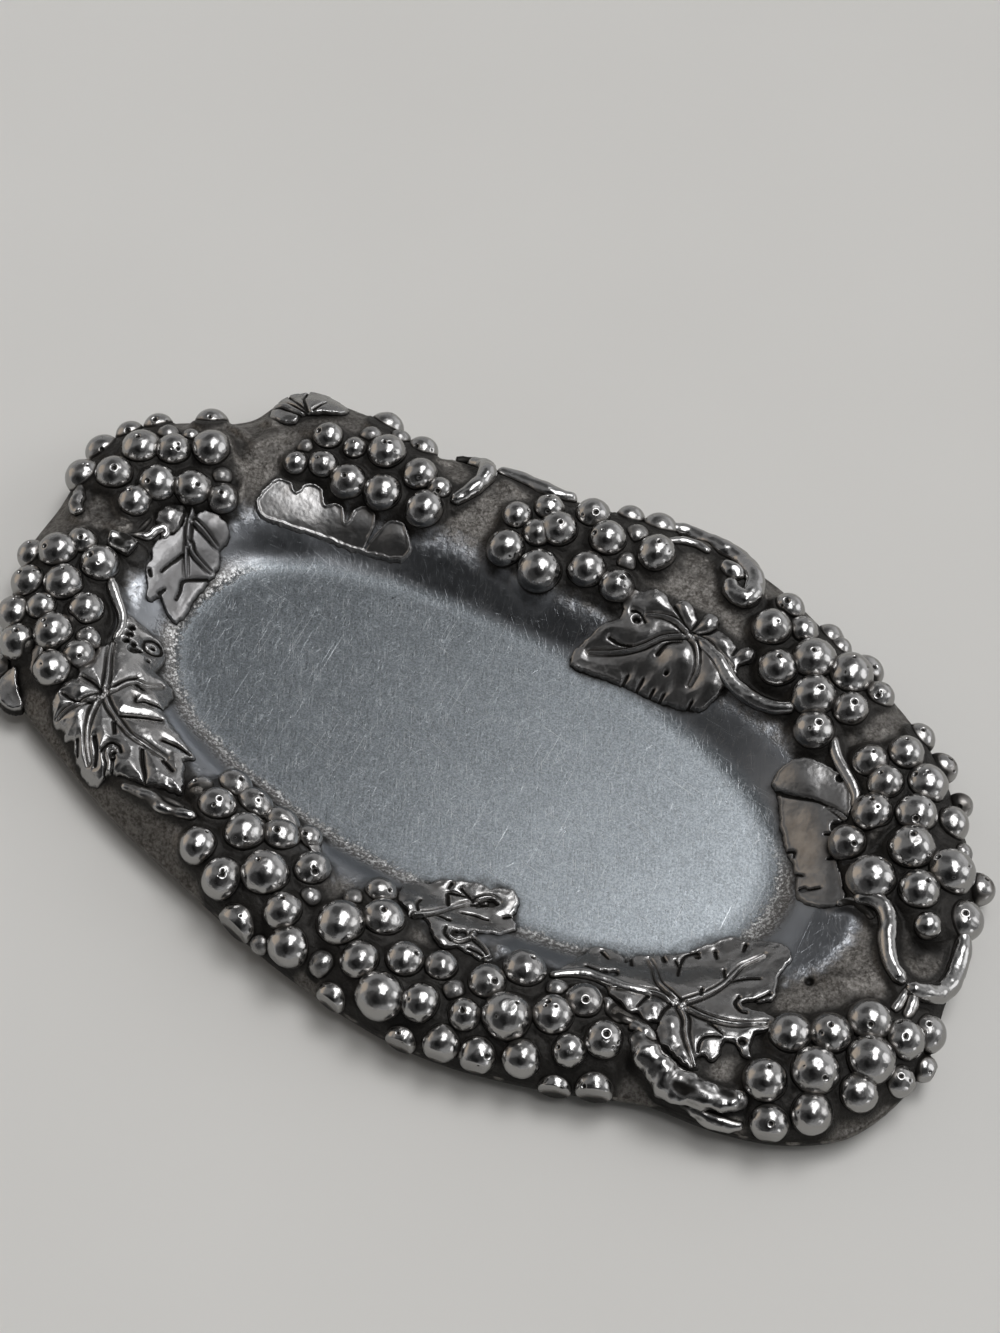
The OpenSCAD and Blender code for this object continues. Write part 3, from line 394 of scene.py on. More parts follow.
def curve(flat, closed=False, steps=6):
    """Catmull-Rom curve through the points of a flat list."""
    p = pairs(flat)
    p = np.concatenate([p[-1:], p, p[:2]] if closed else [p[:1], p, p[-1:]])
    out = [0.5 * (2 * b + (c - a) * t + (2 * a - 5 * b + 4 * c - d) * t ** 2
                  + (3 * b - a - 3 * c + d) * t ** 3)
           for a, b, c, d in zip(p, p[1:], p[2:], p[3:]) for t in np.arange(steps) / steps]
    return np.array(out if closed else out + [p[-1]])


def to_line(px, py, line):
    """Distance from each point to a polyline, and how far along it the nearest point is."""
    best = np.full(px.shape, 1e9)
    along = np.zeros(px.shape)
    count = len(line) - 1
    for i in range(count):
        (ax, ay), (bx, by) = line[i], line[i + 1]
        dx, dy = bx - ax, by - ay
        t = np.clip(((px - ax) * dx + (py - ay) * dy) / max(dx * dx + dy * dy, 1e-9), 0, 1)
        d = np.hypot(px - ax - t * dx, py - ay - t * dy)
        nearer = d < best
        best = np.where(nearer, d, best)
        along = np.where(nearer, (i + t) / count, along)
    return best, along


def inside(px, py, ring):
    """True where a point lies inside the closed ring."""
    hit = np.zeros(px.shape, bool)
    for (ax, ay), (bx, by) in zip(ring, np.roll(ring, -1, axis=0)):
        cross = (ay > py) != (by > py)
        x = ax + (py - ay) * (bx - ax) / (by - ay if by != ay else 1e-9)
        hit ^= cross & (px < x)
    return hit


# ---- the rim's surface ----

EDGE_BLUR, RISE_BLUR = 2.2, 0.032    # degrees, and share of the width
ANGLES = np.arange(0, 360, 0.5)
SHARES = np.linspace(-0.2, 1.2, 281)
EDGE_AT = rounded(np.interp(ANGLES, *np.array(EDGE).T), "wrap", 0.5, EDGE_BLUR, 16)
RISE_AT = rounded(np.interp(SHARES, *np.array(RISE).T), "edge", 0.005, RISE_BLUR, 20)


def edge(angle):
    """How far across the rim its outer edge is."""
    return np.interp(np.mod(angle, 360), np.append(ANGLES, 360), np.append(EDGE_AT, EDGE_AT[0]))


def height(angle, across):
    """Height of the bare rim over the table."""
    return FLOOR_T + (CREST_H - FLOOR_T) * np.interp(across / edge(angle), SHARES, RISE_AT)


def half_axes(across):
    """Half the length and half the width of the oval that far across the rim."""
    return (0.5 * (WELL_L + across * (TRAY_L - WELL_L)),
            0.5 * (WELL_W + across * (TRAY_W - WELL_W)))


def plan(angle, across):
    """Plan coordinates of a place on the rim."""
    c, s = np.cos(np.radians(angle)), np.sin(np.radians(angle))
    power = 2 / SQUARENESS
    a, b = half_axes(across)
    return a * np.sign(c) * np.abs(c) ** power, b * np.sign(s) * np.abs(s) ** power


def rim_coordinates(x, y):
    """Angle and across of plan points, by halving."""
    low, high = np.full(x.shape, -0.75), np.full(x.shape, 1.6)
    for _ in range(22):
        q = (low + high) / 2
        a, b = half_axes(q)
        out = (np.abs(x) / a) ** SQUARENESS + (np.abs(y) / b) ** SQUARENESS > 1
        low, high = np.where(out, q, low), np.where(out, high, q)
    q = (low + high) / 2
    a, b = half_axes(q)
    half = SQUARENESS / 2
    c, s = np.sign(x) * (np.abs(x) / a) ** half, np.sign(y) * (np.abs(y) / b) ** half
    return np.degrees(np.arctan2(s, c)), q


# ---- maps over the plan ----

CELL = 0.3
MAP_X, MAP_Y = np.arange(-118, 118, CELL), np.arange(-74, 76, CELL)
GRID_X, GRID_Y = np.meshgrid(MAP_X, MAP_Y)
MAP_ANGLE, MAP_ACROSS = rim_coordinates(GRID_X, GRID_Y)
GROUND = height(MAP_ANGLE, np.maximum(MAP_ACROSS, 0))       # the bare rim


def sample(field, x, y):
    """A map's value at plan points, between its cells."""
    u = np.clip((np.asarray(x) - MAP_X[0]) / CELL, 0, len(MAP_X) - 1.001)
    v = np.clip((np.asarray(y) - MAP_Y[0]) / CELL, 0, len(MAP_Y) - 1.001)
    i, j = u.astype(int), v.astype(int)
    fu, fv = u - i, v - j
    return ((field[j, i] * (1 - fu) + field[j, i + 1] * fu) * (1 - fv)
            + (field[j + 1, i] * (1 - fu) + field[j + 1, i + 1] * fu) * fv)


# Low mounds of the casting between the ornament: x, y, length, width, turn, height
LUMPS = [
    (-84, 38.6, 9, 2.2, -14, 1.3), (-82.6, 33.8, 9, 1.8, -36, 1.1), (-77, 36.8, 9, 3.8, 80, 1.6),
    (-73.4, 25.4, 8, 2.0, -58, 1.2), (-79.4, 44.6, 5, 3.4, 20, 1.3), (-89.6, 3.4, 6, 5, 30, 1.8),
    (-89.6, 9.4, 7, 2.6, 32, 1.6), (-65.6, 60, 5, 2.6, -20, 1.5), (-70, 46, 4.6, 3.6, 60, 1.0),
    (-41, 56.6, 6, 3.4, 30, 1.5), (-26, 57.4, 7, 3, -10, 1.1), (-20, 63.4, 7, 2.4, 4, 1.2),
    (26, 63, 8, 5, -14, 1.2), (17, 66.8, 5, 3, 20, 1.4), (35, 61.6, 6, 3, -38, 1.2),
    (42, 56.4, 7, 2.4, -42, 1.2), (47.6, 48.6, 5, 3, -30, 1.1), (56.6, 43.4, 5, 3.4, -50, 1.3),
    (81, 21.6, 5, 3, 70, 1.0), (65.6, -42.4, 6.4, 5.4, -30, 2.0), (80, -45, 9, 4.4, 6, 1.5),
    (58.4, -38.6, 9, 3.4, -4, 1.5), (70.6, -45.4, 8, 3.4, 0, 1.1), (87, -45, 6, 3, 12, 1.3),
    (31, -36.6, 6, 3, -10, 1.0), (-37.4, -40, 5.4, 3.4, 60, 1.8), (-44, -47.6, 12, 3.4, 4, 0.8),
    (-84, -22.6, 5, 3, 60, 1.3), (-88.4, -31.8, 5, 3, 40, 1.4), (-80, -43.4, 6, 3, -10, 1.2),
    (-96, -1.4, 6, 3, 80, 1.2), (98.6, 4.6, 6, 4, 60, -1.4), (101.8, 5, 8, 5, 75, -1.4),
    (90, -9.6, 7, 4, 20, 0.9), (-44.6, 62, 6, 2.4, 10, 1.2)]
FILL_H = 0.9                        # height of the metal between the grapes of a bunch
FILLET_H, FILLET_REACH = 0.34, 0.30     # where it rises to a grape, in the grape's radii
BUD_ROOM, BUD_R = 1.7, 3.2          # least room for a half-hidden grape, and its most radius


def mounds():
    """The heights of LUMPS over the map."""
    out = np.zeros(GRID_X.shape)
    for x, y, length, width, turn, h in LUMPS:
        c, s = math.cos(math.radians(turn)), math.sin(math.radians(turn))
        u = ((GRID_X - x) * c + (GRID_Y - y) * s) / (0.5 * length)
        v = (-(GRID_X - x) * s + (GRID_Y - y) * c) / (0.5 * width)
        out += h * np.exp(-(u * u + v * v) ** 1.3)
    return out


def leaf_mask():
    """1 on the leaves, 0 off them, over the map."""
    mask = np.zeros(GRID_X.shape)
    for leaf in LEAVES:
        mask[inside(GRID_X, GRID_Y, curve(leaf.outline, closed=True))] = 1
    return mask


def all_grapes():
    """Every grape's plan place, radius and bunch."""
    return [(*map(float, plan(angle, across)), d * FULLER[d] / 2, name)
            for name, bunch in GRAPES.items() for angle, across, d in bunch]


def to_ornament(spots):
    """Distance over the map to the nearest grape, its radius, and distance to a stem."""
    away, girth = np.full(GRID_X.shape, 99.0), np.ones(GRID_X.shape)
    for x, y, r, _ in spots:
        d = np.hypot(GRID_X - x, GRID_Y - y) - r
        girth = np.where(d < away, r, girth)
        away = np.minimum(away, d)
    strands = [to_line(GRID_X, GRID_Y, curve(path, steps=4))[0] - thick / 2
               for paths in STEMS.values() for thick, _, path in paths]
    return away, girth, np.minimum.reduce(strands)


def fill_gaps():
    """Four things over the plan: the metal between the grapes, which rises to each one and
    to each stem; how sheltered and how crowded with grapes each place is; and the small
    half-hidden grapes in the wide gaps, as plan place, radius and bunch."""
    spots = all_grapes()
    away, girth, strands = to_ornament(spots)
    leaves = leaf_mask()
    crowded = blurred((away < 0.2).astype(float), 2.6 / CELL)
    fill = FILL_H * smooth(0.28, 0.62, crowded)
    reach = FILLET_REACH * girth + 0.8
    fillet = FILLET_H * girth * np.clip(1 - np.maximum(away, 0) / reach, 0, 1) ** 2.2
    metal = fill + fillet * (1 - 0.35 * fill / FILL_H)
    small = 0.9 * np.clip(1 - np.maximum(strands, 0) / 1.6, 0, 1) ** 2.2
    metal = np.maximum(metal, small) + MOUNDS
    metal = metal * (1 - blurred(leaves, 0.5 / CELL))
    ornament = ((away < 0) | (strands < 0) | (leaves > 0)).astype(float)
    shelter = blurred(ornament, 2.3 / CELL)
    taken = ((crowded < 0.40) | (leaves > 0) | (strands < 0)
             | (MAP_ACROSS > 0.97 * edge(MAP_ANGLE)))
    away = np.minimum(away, np.maximum(strands, 0.4))
    buds = []
    while True:
        free = np.where(taken, -1, away)
        j, i = np.unravel_index(np.argmax(free), free.shape)
        if free[j, i] < BUD_ROOM:
            return metal, shelter, crowded, buds
        x, y, r = MAP_X[i], MAP_Y[j], min(free[j, i] + 0.5, BUD_R)
        nearest = min(spots, key=lambda g: math.hypot(g[0] - x, g[1] - y) - g[2])
        buds.append((x, y, r, nearest[3]))
        away = np.minimum(away, np.hypot(GRID_X - x, GRID_Y - y) - r)


MOUNDS = mounds()
FILL, SHELTER, CROWDED, BUDS = fill_gaps()
FLOOR_UP = GROUND + FILL            # the ground between the ornament
RELIEF = np.where(MAP_ACROSS < edge(MAP_ANGLE), FLOOR_UP, 0.0)  # grows as pieces are made
MADE = []                           # node, points, faces, material, attributes of the points


# ---- meshes ----

def tube_faces(rings, sides):
    """Faces of a tube of rings, with its ends closed by one face each."""
    r, k = np.meshgrid(np.arange(rings - 1), np.arange(sides), indexing="ij")
    r, k = r.ravel() * sides, k.ravel()
    j = (k + 1) % sides
    faces = np.stack([r + k, r + j, r + sides + j, r + sides + k], 1).tolist()
    faces.append(list(range(sides - 1, -1, -1)))
    faces.append(list(range((rings - 1) * sides, rings * sides)))
    return faces


def keep(node, patches):
    """Joins closed meshes as one piece, and raises the relief map to them. Each patch is
    its points, its faces, how dark each point is, and how much painted shade darkens the whole and
    makes it matt."""
    points, faces, pit, matt_and_painted_shade = zip(*patches)
    starts = np.cumsum([0] + [len(p) for p in points])
    MADE.append((node, np.concatenate(points),
                 [[start + i for i in f] for start, part in zip(starts, faces) for f in part],
                 "relief", {"pit": np.concatenate(pit),
                            "matt_and_painted_shade": np.repeat(matt_and_painted_shade, [len(p) for p in points])}))
    x, y, z = MADE[-1][1].T
    i = np.round((x - MAP_X[0]) / CELL).astype(int)
    j = np.round((y - MAP_Y[0]) / CELL).astype(int)
    on_map = (i >= 0) & (i < len(MAP_X)) & (j >= 0) & (j < len(MAP_Y))
    np.maximum.at(RELIEF, (j[on_map], i[on_map]), z[on_map])


# ---- the tray itself ----

AROUND = 1080                       # points in a ring
FLOOR_RINGS = (0.004, 0.12, 0.26, 0.4, 0.52, 0.64, 0.74, 0.82, 0.88, 0.93, 0.97)
RIM_RINGS, LIP_RINGS, UNDER_RINGS = 124, 12, 26
FOOT_RINGS = (0.93, 0.6, 0.3, 0.004)
PIT_X, PIT_Y, PIT_R, PIT_DEPTH = 85, -12, 0.9, 1.1          # a casting pit in the rim


def tray_rings():
    """The tray's rings, from the middle of the well out, round the lip and back under."""
    angle = np.arange(AROUND) * 360 / AROUND
    rim = edge(angle)
    rings = []

    def ring(across, up, share=1.0):
        x, y = plan(angle, across)
        rings.append(np.stack([x * share, y * share, up + 0 * angle], 1))

    for t in FLOOR_RINGS:
        ring(0 * angle, FLOOR_T, t)
    for share in np.linspace(0, 1, RIM_RINGS):
        ring(share * rim, height(angle, share * rim))
    for turn in np.radians(15 + 15 * np.arange(LIP_RINGS)):
        drop = 0.5 * LIP_T * (1 - math.cos(turn))
        ring(rim - 0.012 * (1 - math.sin(turn)), height(angle, rim) - drop)
    for share in np.linspace(0.985, FOOT_SHARE, UNDER_RINGS):
        under = np.maximum(height(angle, share * rim) - WALL_T, 0)
        ring(share * rim, np.minimum(under, height(angle, rim) - LIP_T + 40 * (1 - share)))
    for t in FOOT_RINGS:
        ring(FOOT_SHARE * rim, 0, t)
    return rings


def make_tray():
    """The tray's mesh: rough and dark between the ornament, and smooth in the well."""
    rings = tray_rings()
    points = np.concatenate(rings)
    x, y, z = points.T              # views, so z is changed in place
    angle, across = rim_coordinates(x, y)
    share = across / edge(angle)
    index, upper = np.arange(len(points)), len(FLOOR_RINGS) + RIM_RINGS
    top = index < upper * AROUND
    under = index > (upper + LIP_RINGS - 1) * AROUND
    fade = top * smooth(1.0, 0.965, share)
    z += fade * sample(FILL, x, y)
    rough = smooth(0.10, 0.45, across) * fade
    z += rough * (0.15 * layered(points, 6.0, 3) + 0.10 * noise(points, 1.7, 9) - 0.1)
    z += smooth(0.02, 0.2, across) * fade * 0.06 * noise(points, 9.0, 14)
    z -= fade * PIT_DEPTH * np.exp(-(np.hypot(x - PIT_X, y - PIT_Y) / PIT_R) ** 4)
    z += (~top & (z > 0.5)) * 0.12 * noise(points, 4.0, 21)
    crowd = top * np.maximum(smooth(0.30, 0.62, sample(CROWDED, x, y)),
                             0.75 * smooth(0.16, 0.50, sample(SHELTER, x, y)))
    crowd *= smooth(0.14, 0.40, share) * (1 - smooth(0.5, 1.3, sample(MOUNDS, x, y)))
    MADE.append(("tray_body", points, tube_faces(len(rings), AROUND), "tray",
                 {"under": under.astype(float), "crowd": crowd}))


# ---- grapes ----

GRAPE_RISE = 0.12                   # of a grape's middle over the rim, in diameters
BERRY_RINGS, BERRY_SIDES = 42, 60
POLE_PITS, SIDE_PITS = 0.7, 2       # share of grapes with a pit on top; most other pits


def berry(centre, d, rng, stretch=1.0, flat=1.0, pitted=True):
    """The points of a grape, a ball a little out of round with casting pits, and how dark
    each of them is."""
    tilt, turn = math.radians(rng.uniform(4, 42)), rng.uniform(0, 2 * math.pi)
    pole = np.array([math.sin(tilt) * math.cos(turn), math.sin(tilt) * math.sin(turn),
                     math.cos(tilt)])
    side = unit(np.cross(pole, [0.3, 0.9, 0.1]))
    other = np.cross(pole, side)
    u = np.linspace(0, 1, BERRY_RINGS)
    polar = math.pi * (0.38 * u + 0.62 * u ** 2)     # rings gather round the pit at the pole
    polar[0], polar[-1] = 0.004, math.pi - 0.01
    turns = 2 * math.pi * np.arange(BERRY_SIDES) / BERRY_SIDES
    pp, tt = (v.ravel() for v in np.meshgrid(polar, turns, indexing="ij"))
    ways = (np.cos(pp)[:, None] * pole + (np.sin(pp) * np.cos(tt))[:, None] * side
            + (np.sin(pp) * np.sin(tt))[:, None] * other)
    shift = 10 * rng.random(3)
    radius = d / 2 * (1 + 0.030 * noise(ways * 1.3 + shift, 1.0, 5)
                      + 0.008 * noise(ways * 4 + shift, 1.0, 6))
    pits = []
    if pitted and rng.random() < POLE_PITS:
        pits.append((pole, rng.uniform(0.36, 0.62)))
    for _ in range(rng.integers(0, SIDE_PITS + 1) if pitted else 0):
        way = rng.normal(size=3)
        way[2] = abs(way[2]) + 0.6
        pits.append((unit(way), rng.uniform(0.20, 0.36)))
    dark = np.zeros(len(ways))
    for way, size in pits:
        away = np.arccos(np.clip(ways @ way, -1, 1)) * d / 2
        radius -= 0.95 * size * np.exp(-(away / size) ** 4)
        radius += 0.05 * np.exp(-((away - 1.5 * size) / (0.4 * size)) ** 2)
        dark = np.maximum(dark, np.exp(-(away / (0.92 * size)) ** 6))
    shape = ways * radius[:, None] * [rng.uniform(0.96, 1.03), rng.uniform(0.96, 1.03),
                                      rng.uniform(0.95, 1.0) * flat]
    along = unit(np.array([-centre[1], centre[0] * 0.35, 0]))
    shape += np.outer(shape @ along, along) * (stretch - 1)
    return centre + shape, dark


def pressed_in(points):
    """Brings back the points that hang over the rim's edge, wholly so in front."""
    angle, across = rim_coordinates(points[:, 0], points[:, 1])
    behind = smooth(-0.6, 0.1, np.sin(np.radians(angle)))
    limit = edge(angle) + 0.02 + 0.09 * behind
    over = across > limit
    x, y = plan(angle[over], limit[over] + 0.25 * (across - limit)[over] * behind[over])
    points[over, 0], points[over, 1] = x, y
    return points


def grape_patches(node, bunch, seed):
    """Patches for keep: a bunch's grapes, and the half-hidden ones between them."""
    rng = np.random.default_rng(seed)
    ball = tube_faces(BERRY_RINGS, BERRY_SIDES)
    for angle, across, d in bunch:
        foot = np.array([*plan(angle, across), height(angle, across)])
        stretch = 1.22 if d == SMALL and across < 0.25 else 1.0
        d = d * FULLER[d]
        low = float(smooth(0.88, 1.03, across / edge(angle)))
        points, dark = berry(foot + [0, 0, (GRAPE_RISE - 0.20 * low) * d], d, rng, stretch,
                             flat=1 - 0.12 * low)
        yield pressed_in(points), ball, dark, 0.0
    for x, y, r, owner in BUDS:
        if owner == node:
            z = float(sample(FLOOR_UP, x, y)) - 0.25 * r
            points, dark = berry(np.array([x, y, z]), 2 * r, rng, pitted=False)
            yield points, ball, np.maximum(dark, 0.35), 0.0


# ---- stems ----

STEM_RISE = 0.34                    # of a stem's middle over the rim, in diameters
TUBE_SIDES = 22


def strand(d, rough, path, seed):
    """A patch for keep: a stem half sunk in the rim, thinner at its ends, with knots."""
    line = curve(path, steps=16)
    n = len(line)
    x, y = line.T
    spine = np.stack([x, y, sample(GROUND, x, y) + STEM_RISE * d], 1)
    ahead = np.gradient(spine, axis=0)
    ahead /= np.linalg.norm(ahead, axis=1)[:, None]
    side = np.cross(ahead, [0, 0, 1])
    side /= np.linalg.norm(side, axis=1)[:, None]
    up = np.cross(side, ahead)
    share = np.linspace(0, 1, n)
    girth = 0.56 * d * (0.66 + 0.34 * np.sin(math.pi * share))
    girth = girth * np.clip(np.minimum(share, 1 - share) * 14 + 0.02, 0, 1) ** 0.5
    turn = 2 * math.pi * (np.arange(TUBE_SIDES) + 0.5) / TUBE_SIDES
    out = (np.cos(turn)[None, :, None] * side[:, None, :]
           + np.sin(turn)[None, :, None] * up[:, None, :]).reshape(-1, 3)
    reach = np.repeat(girth, TUBE_SIDES)
    points = np.repeat(spine, TUBE_SIDES, axis=0) + out * reach[:, None]
    wave = rough * 0.85 * noise(points, 3.6, seed) + rough * 0.45 * noise(points, 1.5, seed + 1)
    wave = wave + 0.07 * noise(points, 3.2, seed + 2)
    points = points + out * (reach * wave)[:, None]
    dark = 0.85 * smooth(0.15, -0.3, wave) * (rough > 0.25)
    return points, tube_faces(n, TUBE_SIDES), dark, 0.0


# ---- leaves ----

LEAF_CELL = 0.19
SUNK = 0.7                          # how far a leaf's skirt reaches under the rim
HOLE_DEPTH = 1.6
TEETH, FINE_TEETH = 0.20, 0.10      # how much its edge wavers
RIB_H, GROOVE_DEPTH, CUT_DEPTH = 0.9, 0.8, 0.9


def leaf_lift(x, y, leaf, seed):
    """Height of a leaf over the rim at plan points, how far inside it they are, and
    where its grooves are dark."""
    ring = curve(leaf.outline, closed=True, steps=5)
    away, _ = to_line(x, y, np.concatenate([ring, ring[:1]]))
    flat = np.stack([x, y, 0 * x], 1)
    teeth = TEETH * noise(flat, 1.0, seed) + FINE_TEETH * noise(flat, 0.45, seed + 3)
    away = np.where(inside(x, y, ring), away, -away) + teeth
    ribs = np.zeros(x.shape)
    grooves = np.zeros(x.shape)
    nearest = np.maximum(away, 0)
    for vein in leaf.veins:
        d, t = to_line(x, y, curve(vein))
        fade = 1 - 0.5 * t
        nearest = np.minimum(nearest, d)
        ribs = np.maximum(ribs, RIB_H * fade * np.exp(-(d / (leaf.rib * fade + 0.10)) ** 2))
        beside = (2.0 * leaf.rib + 0.10) * fade
        grooves = np.maximum(grooves, GROOVE_DEPTH * fade
                             * np.exp(-((d - beside) / 0.25) ** 2))
    for cut in leaf.cuts:
        d, t = to_line(x, y, curve(cut))
        nearest = np.minimum(nearest, d + 0.2)
        grooves = np.maximum(grooves, CUT_DEPTH * np.exp(-(d / (0.38 - 0.14 * t)) ** 2))
    pillow = leaf.puff * (1 - np.exp(-(nearest / 1.5) ** 1.3))
    lip = leaf.lip * np.exp(-((away - 0.5) / 0.24) ** 2)
    waves = 0.14 * noise(flat, 3.4, seed + 1) + 0.06 * noise(flat, 1.3, seed + 2)
    waves = waves * min(1.0, leaf.puff + 0.15)
    lift = leaf.blade + pillow + ribs + lip - grooves + waves
    for bx, by, r, h in leaf.bumps:
        lift += h * np.exp(-(((x - bx) ** 2 + (y - by) ** 2) / r ** 2) ** 1.3)
    dark = smooth(0.22, 0.60, grooves) * (1 - 1.2 * np.minimum(ribs, 0.8))
    for hx, hy, r in leaf.holes:
        hollow = np.exp(-(np.hypot(x - hx, y - hy) / r) ** 4)
        lift -= HOLE_DEPTH * hollow
        dark = np.maximum(dark, hollow)
    dark = np.maximum(dark, smooth(0.22, -0.2, away))
    return (lift + SUNK) * smooth(-0.36, 0.30, away) - SUNK, away, np.clip(dark, 0, 1)


def leaf_patch(leaf, seed):
    """A patch for keep: a blade's height field, a base under it and walls between them."""
    low = pairs(leaf.outline).min(axis=0) - 1
    high = pairs(leaf.outline).max(axis=0) + 1
    gx, gy = np.meshgrid(*(np.arange(a, b, LEAF_CELL) for a, b in zip(low, high)))
    lift, away, dark = (v.reshape(gx.shape)
                        for v in leaf_lift(gx.ravel(), gy.ravel(), leaf, seed))
    ground = sample(GROUND, gx, gy)
    used = away > -0.4
    cells = used[:-1, :-1] & used[1:, :-1] & used[:-1, 1:] & used[1:, 1:]
    need = np.zeros(used.shape, bool)
    for corner in (need[:-1, :-1], need[1:, :-1], need[:-1, 1:], need[1:, 1:]):
        corner |= cells
    n = int(need.sum())
    index = np.full(used.shape, -1)
    index[need] = np.arange(n)
    top = np.stack([gx[need], gy[need], (ground + lift)[need]], 1)
    base = np.stack([gx[need], gy[need], ground[need] - SUNK - 0.5], 1)
    quads = np.stack([v[cells] for v in (index[:-1, :-1], index[:-1, 1:], index[1:, 1:],
                                         index[1:, :-1])], 1)
    edges = np.concatenate([quads[:, [i, (i + 1) % 4]] for i in range(4)])
    key = set(map(tuple, edges.tolist()))
    faces = quads.tolist() + (quads[:, ::-1] + n).tolist()
    faces += [[q, p, p + n, q + n] for p, q in sorted(key) if (q, p) not in key]
    dark = np.concatenate([dark[need], np.ones(n)])
    return np.concatenate([top, base]), faces, dark, leaf.matt_and_painted_shade


# ---- materials ----

class Nodes:
    """A node tree, with a short way to add each kind of node that is used."""

    def __init__(self, tree, place="Object"):
        self.tree = tree
        self.place = self.add("TexCoord", out=place)

    def add(self, kind, inputs=(), out=0, **settings):
        """Adds a node, sets its properties, sets or links its inputs; gives an output."""
        node = self.tree.nodes.new("ShaderNode" + kind)
        for key, value in settings.items():
            setattr(node, key, value)
        for key, value in dict(inputs).items():
            if isinstance(value, bpy.types.NodeSocket):
                self.tree.links.new(value, node.inputs[key])
            else:
                node.inputs[key].default_value = value
        return node.outputs[out]

    def math(self, operation, *values):
        return self.add("Math", enumerate(values), operation=operation)

    def times(self, a, b):
        return self.math("MULTIPLY", a, b)

    def mul_add(self, a, b, c):
        """a * b + c"""
        return self.math("MULTIPLY_ADD", a, b, c)

    def total(self, values):
        """The sum of the values, but 1 at most."""
        result = values[0]
        for value in values[1:]:
            result = self.math("ADD", result, value)
        return self.math("MINIMUM", result, 1.0)

    def shaken(self, value, noise, strength):
        """The value, moved up and down by a noise of mean 0.5."""
        return self.mul_add(self.math("SUBTRACT", noise, 0.5), strength, value)

    def step(self, value, low, high):
        """0 below low, 1 above high, with a smooth step between."""
        return self.add("MapRange", {"Value": value, "From Min": low, "From Max": high},
                        interpolation_type="SMOOTHSTEP")

    def colour(self, factor, a, b):
        """Two colours mixed; each is an output or red, green and blue."""
        a, b = ((*v, 1) if isinstance(v, tuple) else v for v in (a, b))
        return self.add("Mix", {0: factor, 6: a, 7: b}, 2, data_type="RGBA")

    def value(self, factor, a, b):
        """Two numbers mixed."""
        return self.add("Mix", {0: factor, 2: a, 3: b}, data_type="FLOAT")

    def noise(self, scale, detail=3.0, rough=0.55, place=None):
        """Noise of mean 0.5, with about as many features in a metre as its scale."""
        return self.add("TexNoise", {"Vector": place or self.place, "Scale": scale,
                                     "Detail": detail, "Roughness": rough})

    def turned(self, degrees, length, width, location=(0, 0, 0)):
        """Places stretched along a direction in the plan, in metres."""
        return self.add("Mapping", {
            "Vector": self.place, "Location": location,
            "Rotation": (0, 0, math.radians(degrees)), "Scale": (length, width, 1)},
            vector_type="TEXTURE")

    def bump(self, value, distance, strength, normal=None):
        inputs = {"Height": value, "Distance": distance, "Strength": strength}
        if normal is not None:
            inputs["Normal"] = normal
        return self.add("Bump", inputs)

    def attribute(self, name):
        return self.add("Attribute", out="Fac", attribute_name=name)


def new_material(name):
    """A material, its nodes and its shader's inputs."""
    material = bpy.data.materials.new(name)
    material.use_nodes = True
    tree = material.node_tree
    return material, Nodes(tree), tree.nodes["Principled BSDF"].inputs


def link(nodes, inputs, **outputs):
    """Links outputs to a shader's inputs, named with _ for a space."""
    for key, output in outputs.items():
        nodes.tree.links.new(output, inputs[key.replace("_", " ")])


POLISHED, CAST_GREY, CLOUDED = (0.455, 0.448, 0.44), (0.23, 0.215, 0.20), (0.36, 0.345, 0.33)
# the first is painted shade: the dark grey that leaves are darkened towards in place of dark
# reflections of the room
PAINTED_SHADE_GREY, PATINA = (0.10, 0.10, 0.105), (0.0115, 0.0100, 0.0082)


def relief_material():
    """Polished high spots, with dark patina in the hollows and in the casting pits."""
    material, n, shader = new_material("relief_metal")
    depth, pit, matt_and_painted_shade = (n.attribute(name) for name in ("depth", "pit", "matt_and_painted_shade"))
    blotch = n.noise(420, 4.0)
    shifted = n.mul_add(blotch, 0.7, depth)
    grime = n.math("MAXIMUM", n.step(shifted, 0.50, 1.15),
                   n.step(n.mul_add(blotch, 0.5, pit), 0.40, 0.95))
    worn = n.step(shifted, 0.15, 0.75)
    tone = n.colour(worn, POLISHED, CAST_GREY)
    tone = n.colour(n.times(n.step(n.noise(150), 0.45, 0.75), 0.35), tone, CLOUDED)
    # painted shade: leaves are darkened towards a dark grey in place of dark reflections; the same
    # number also makes them more matt
    tone = n.colour(matt_and_painted_shade, tone, PAINTED_SHADE_GREY)
    gloss = n.mul_add(matt_and_painted_shade, 0.5, n.mul_add(n.noise(500), 0.16, 0.10))
    gloss = n.value(worn, gloss, 0.38)
    waves = n.bump(n.noise(330, 2.0), 0.0004, 0.5)
    link(n, shader, Base_Color=n.colour(grime, tone, PATINA),
         Metallic=n.value(grime, 1.0, 0.55), Roughness=n.value(grime, gloss, 0.50),
         Normal=n.bump(n.noise(1500, 4.0), 0.00005, 0.6, waves))
    return material


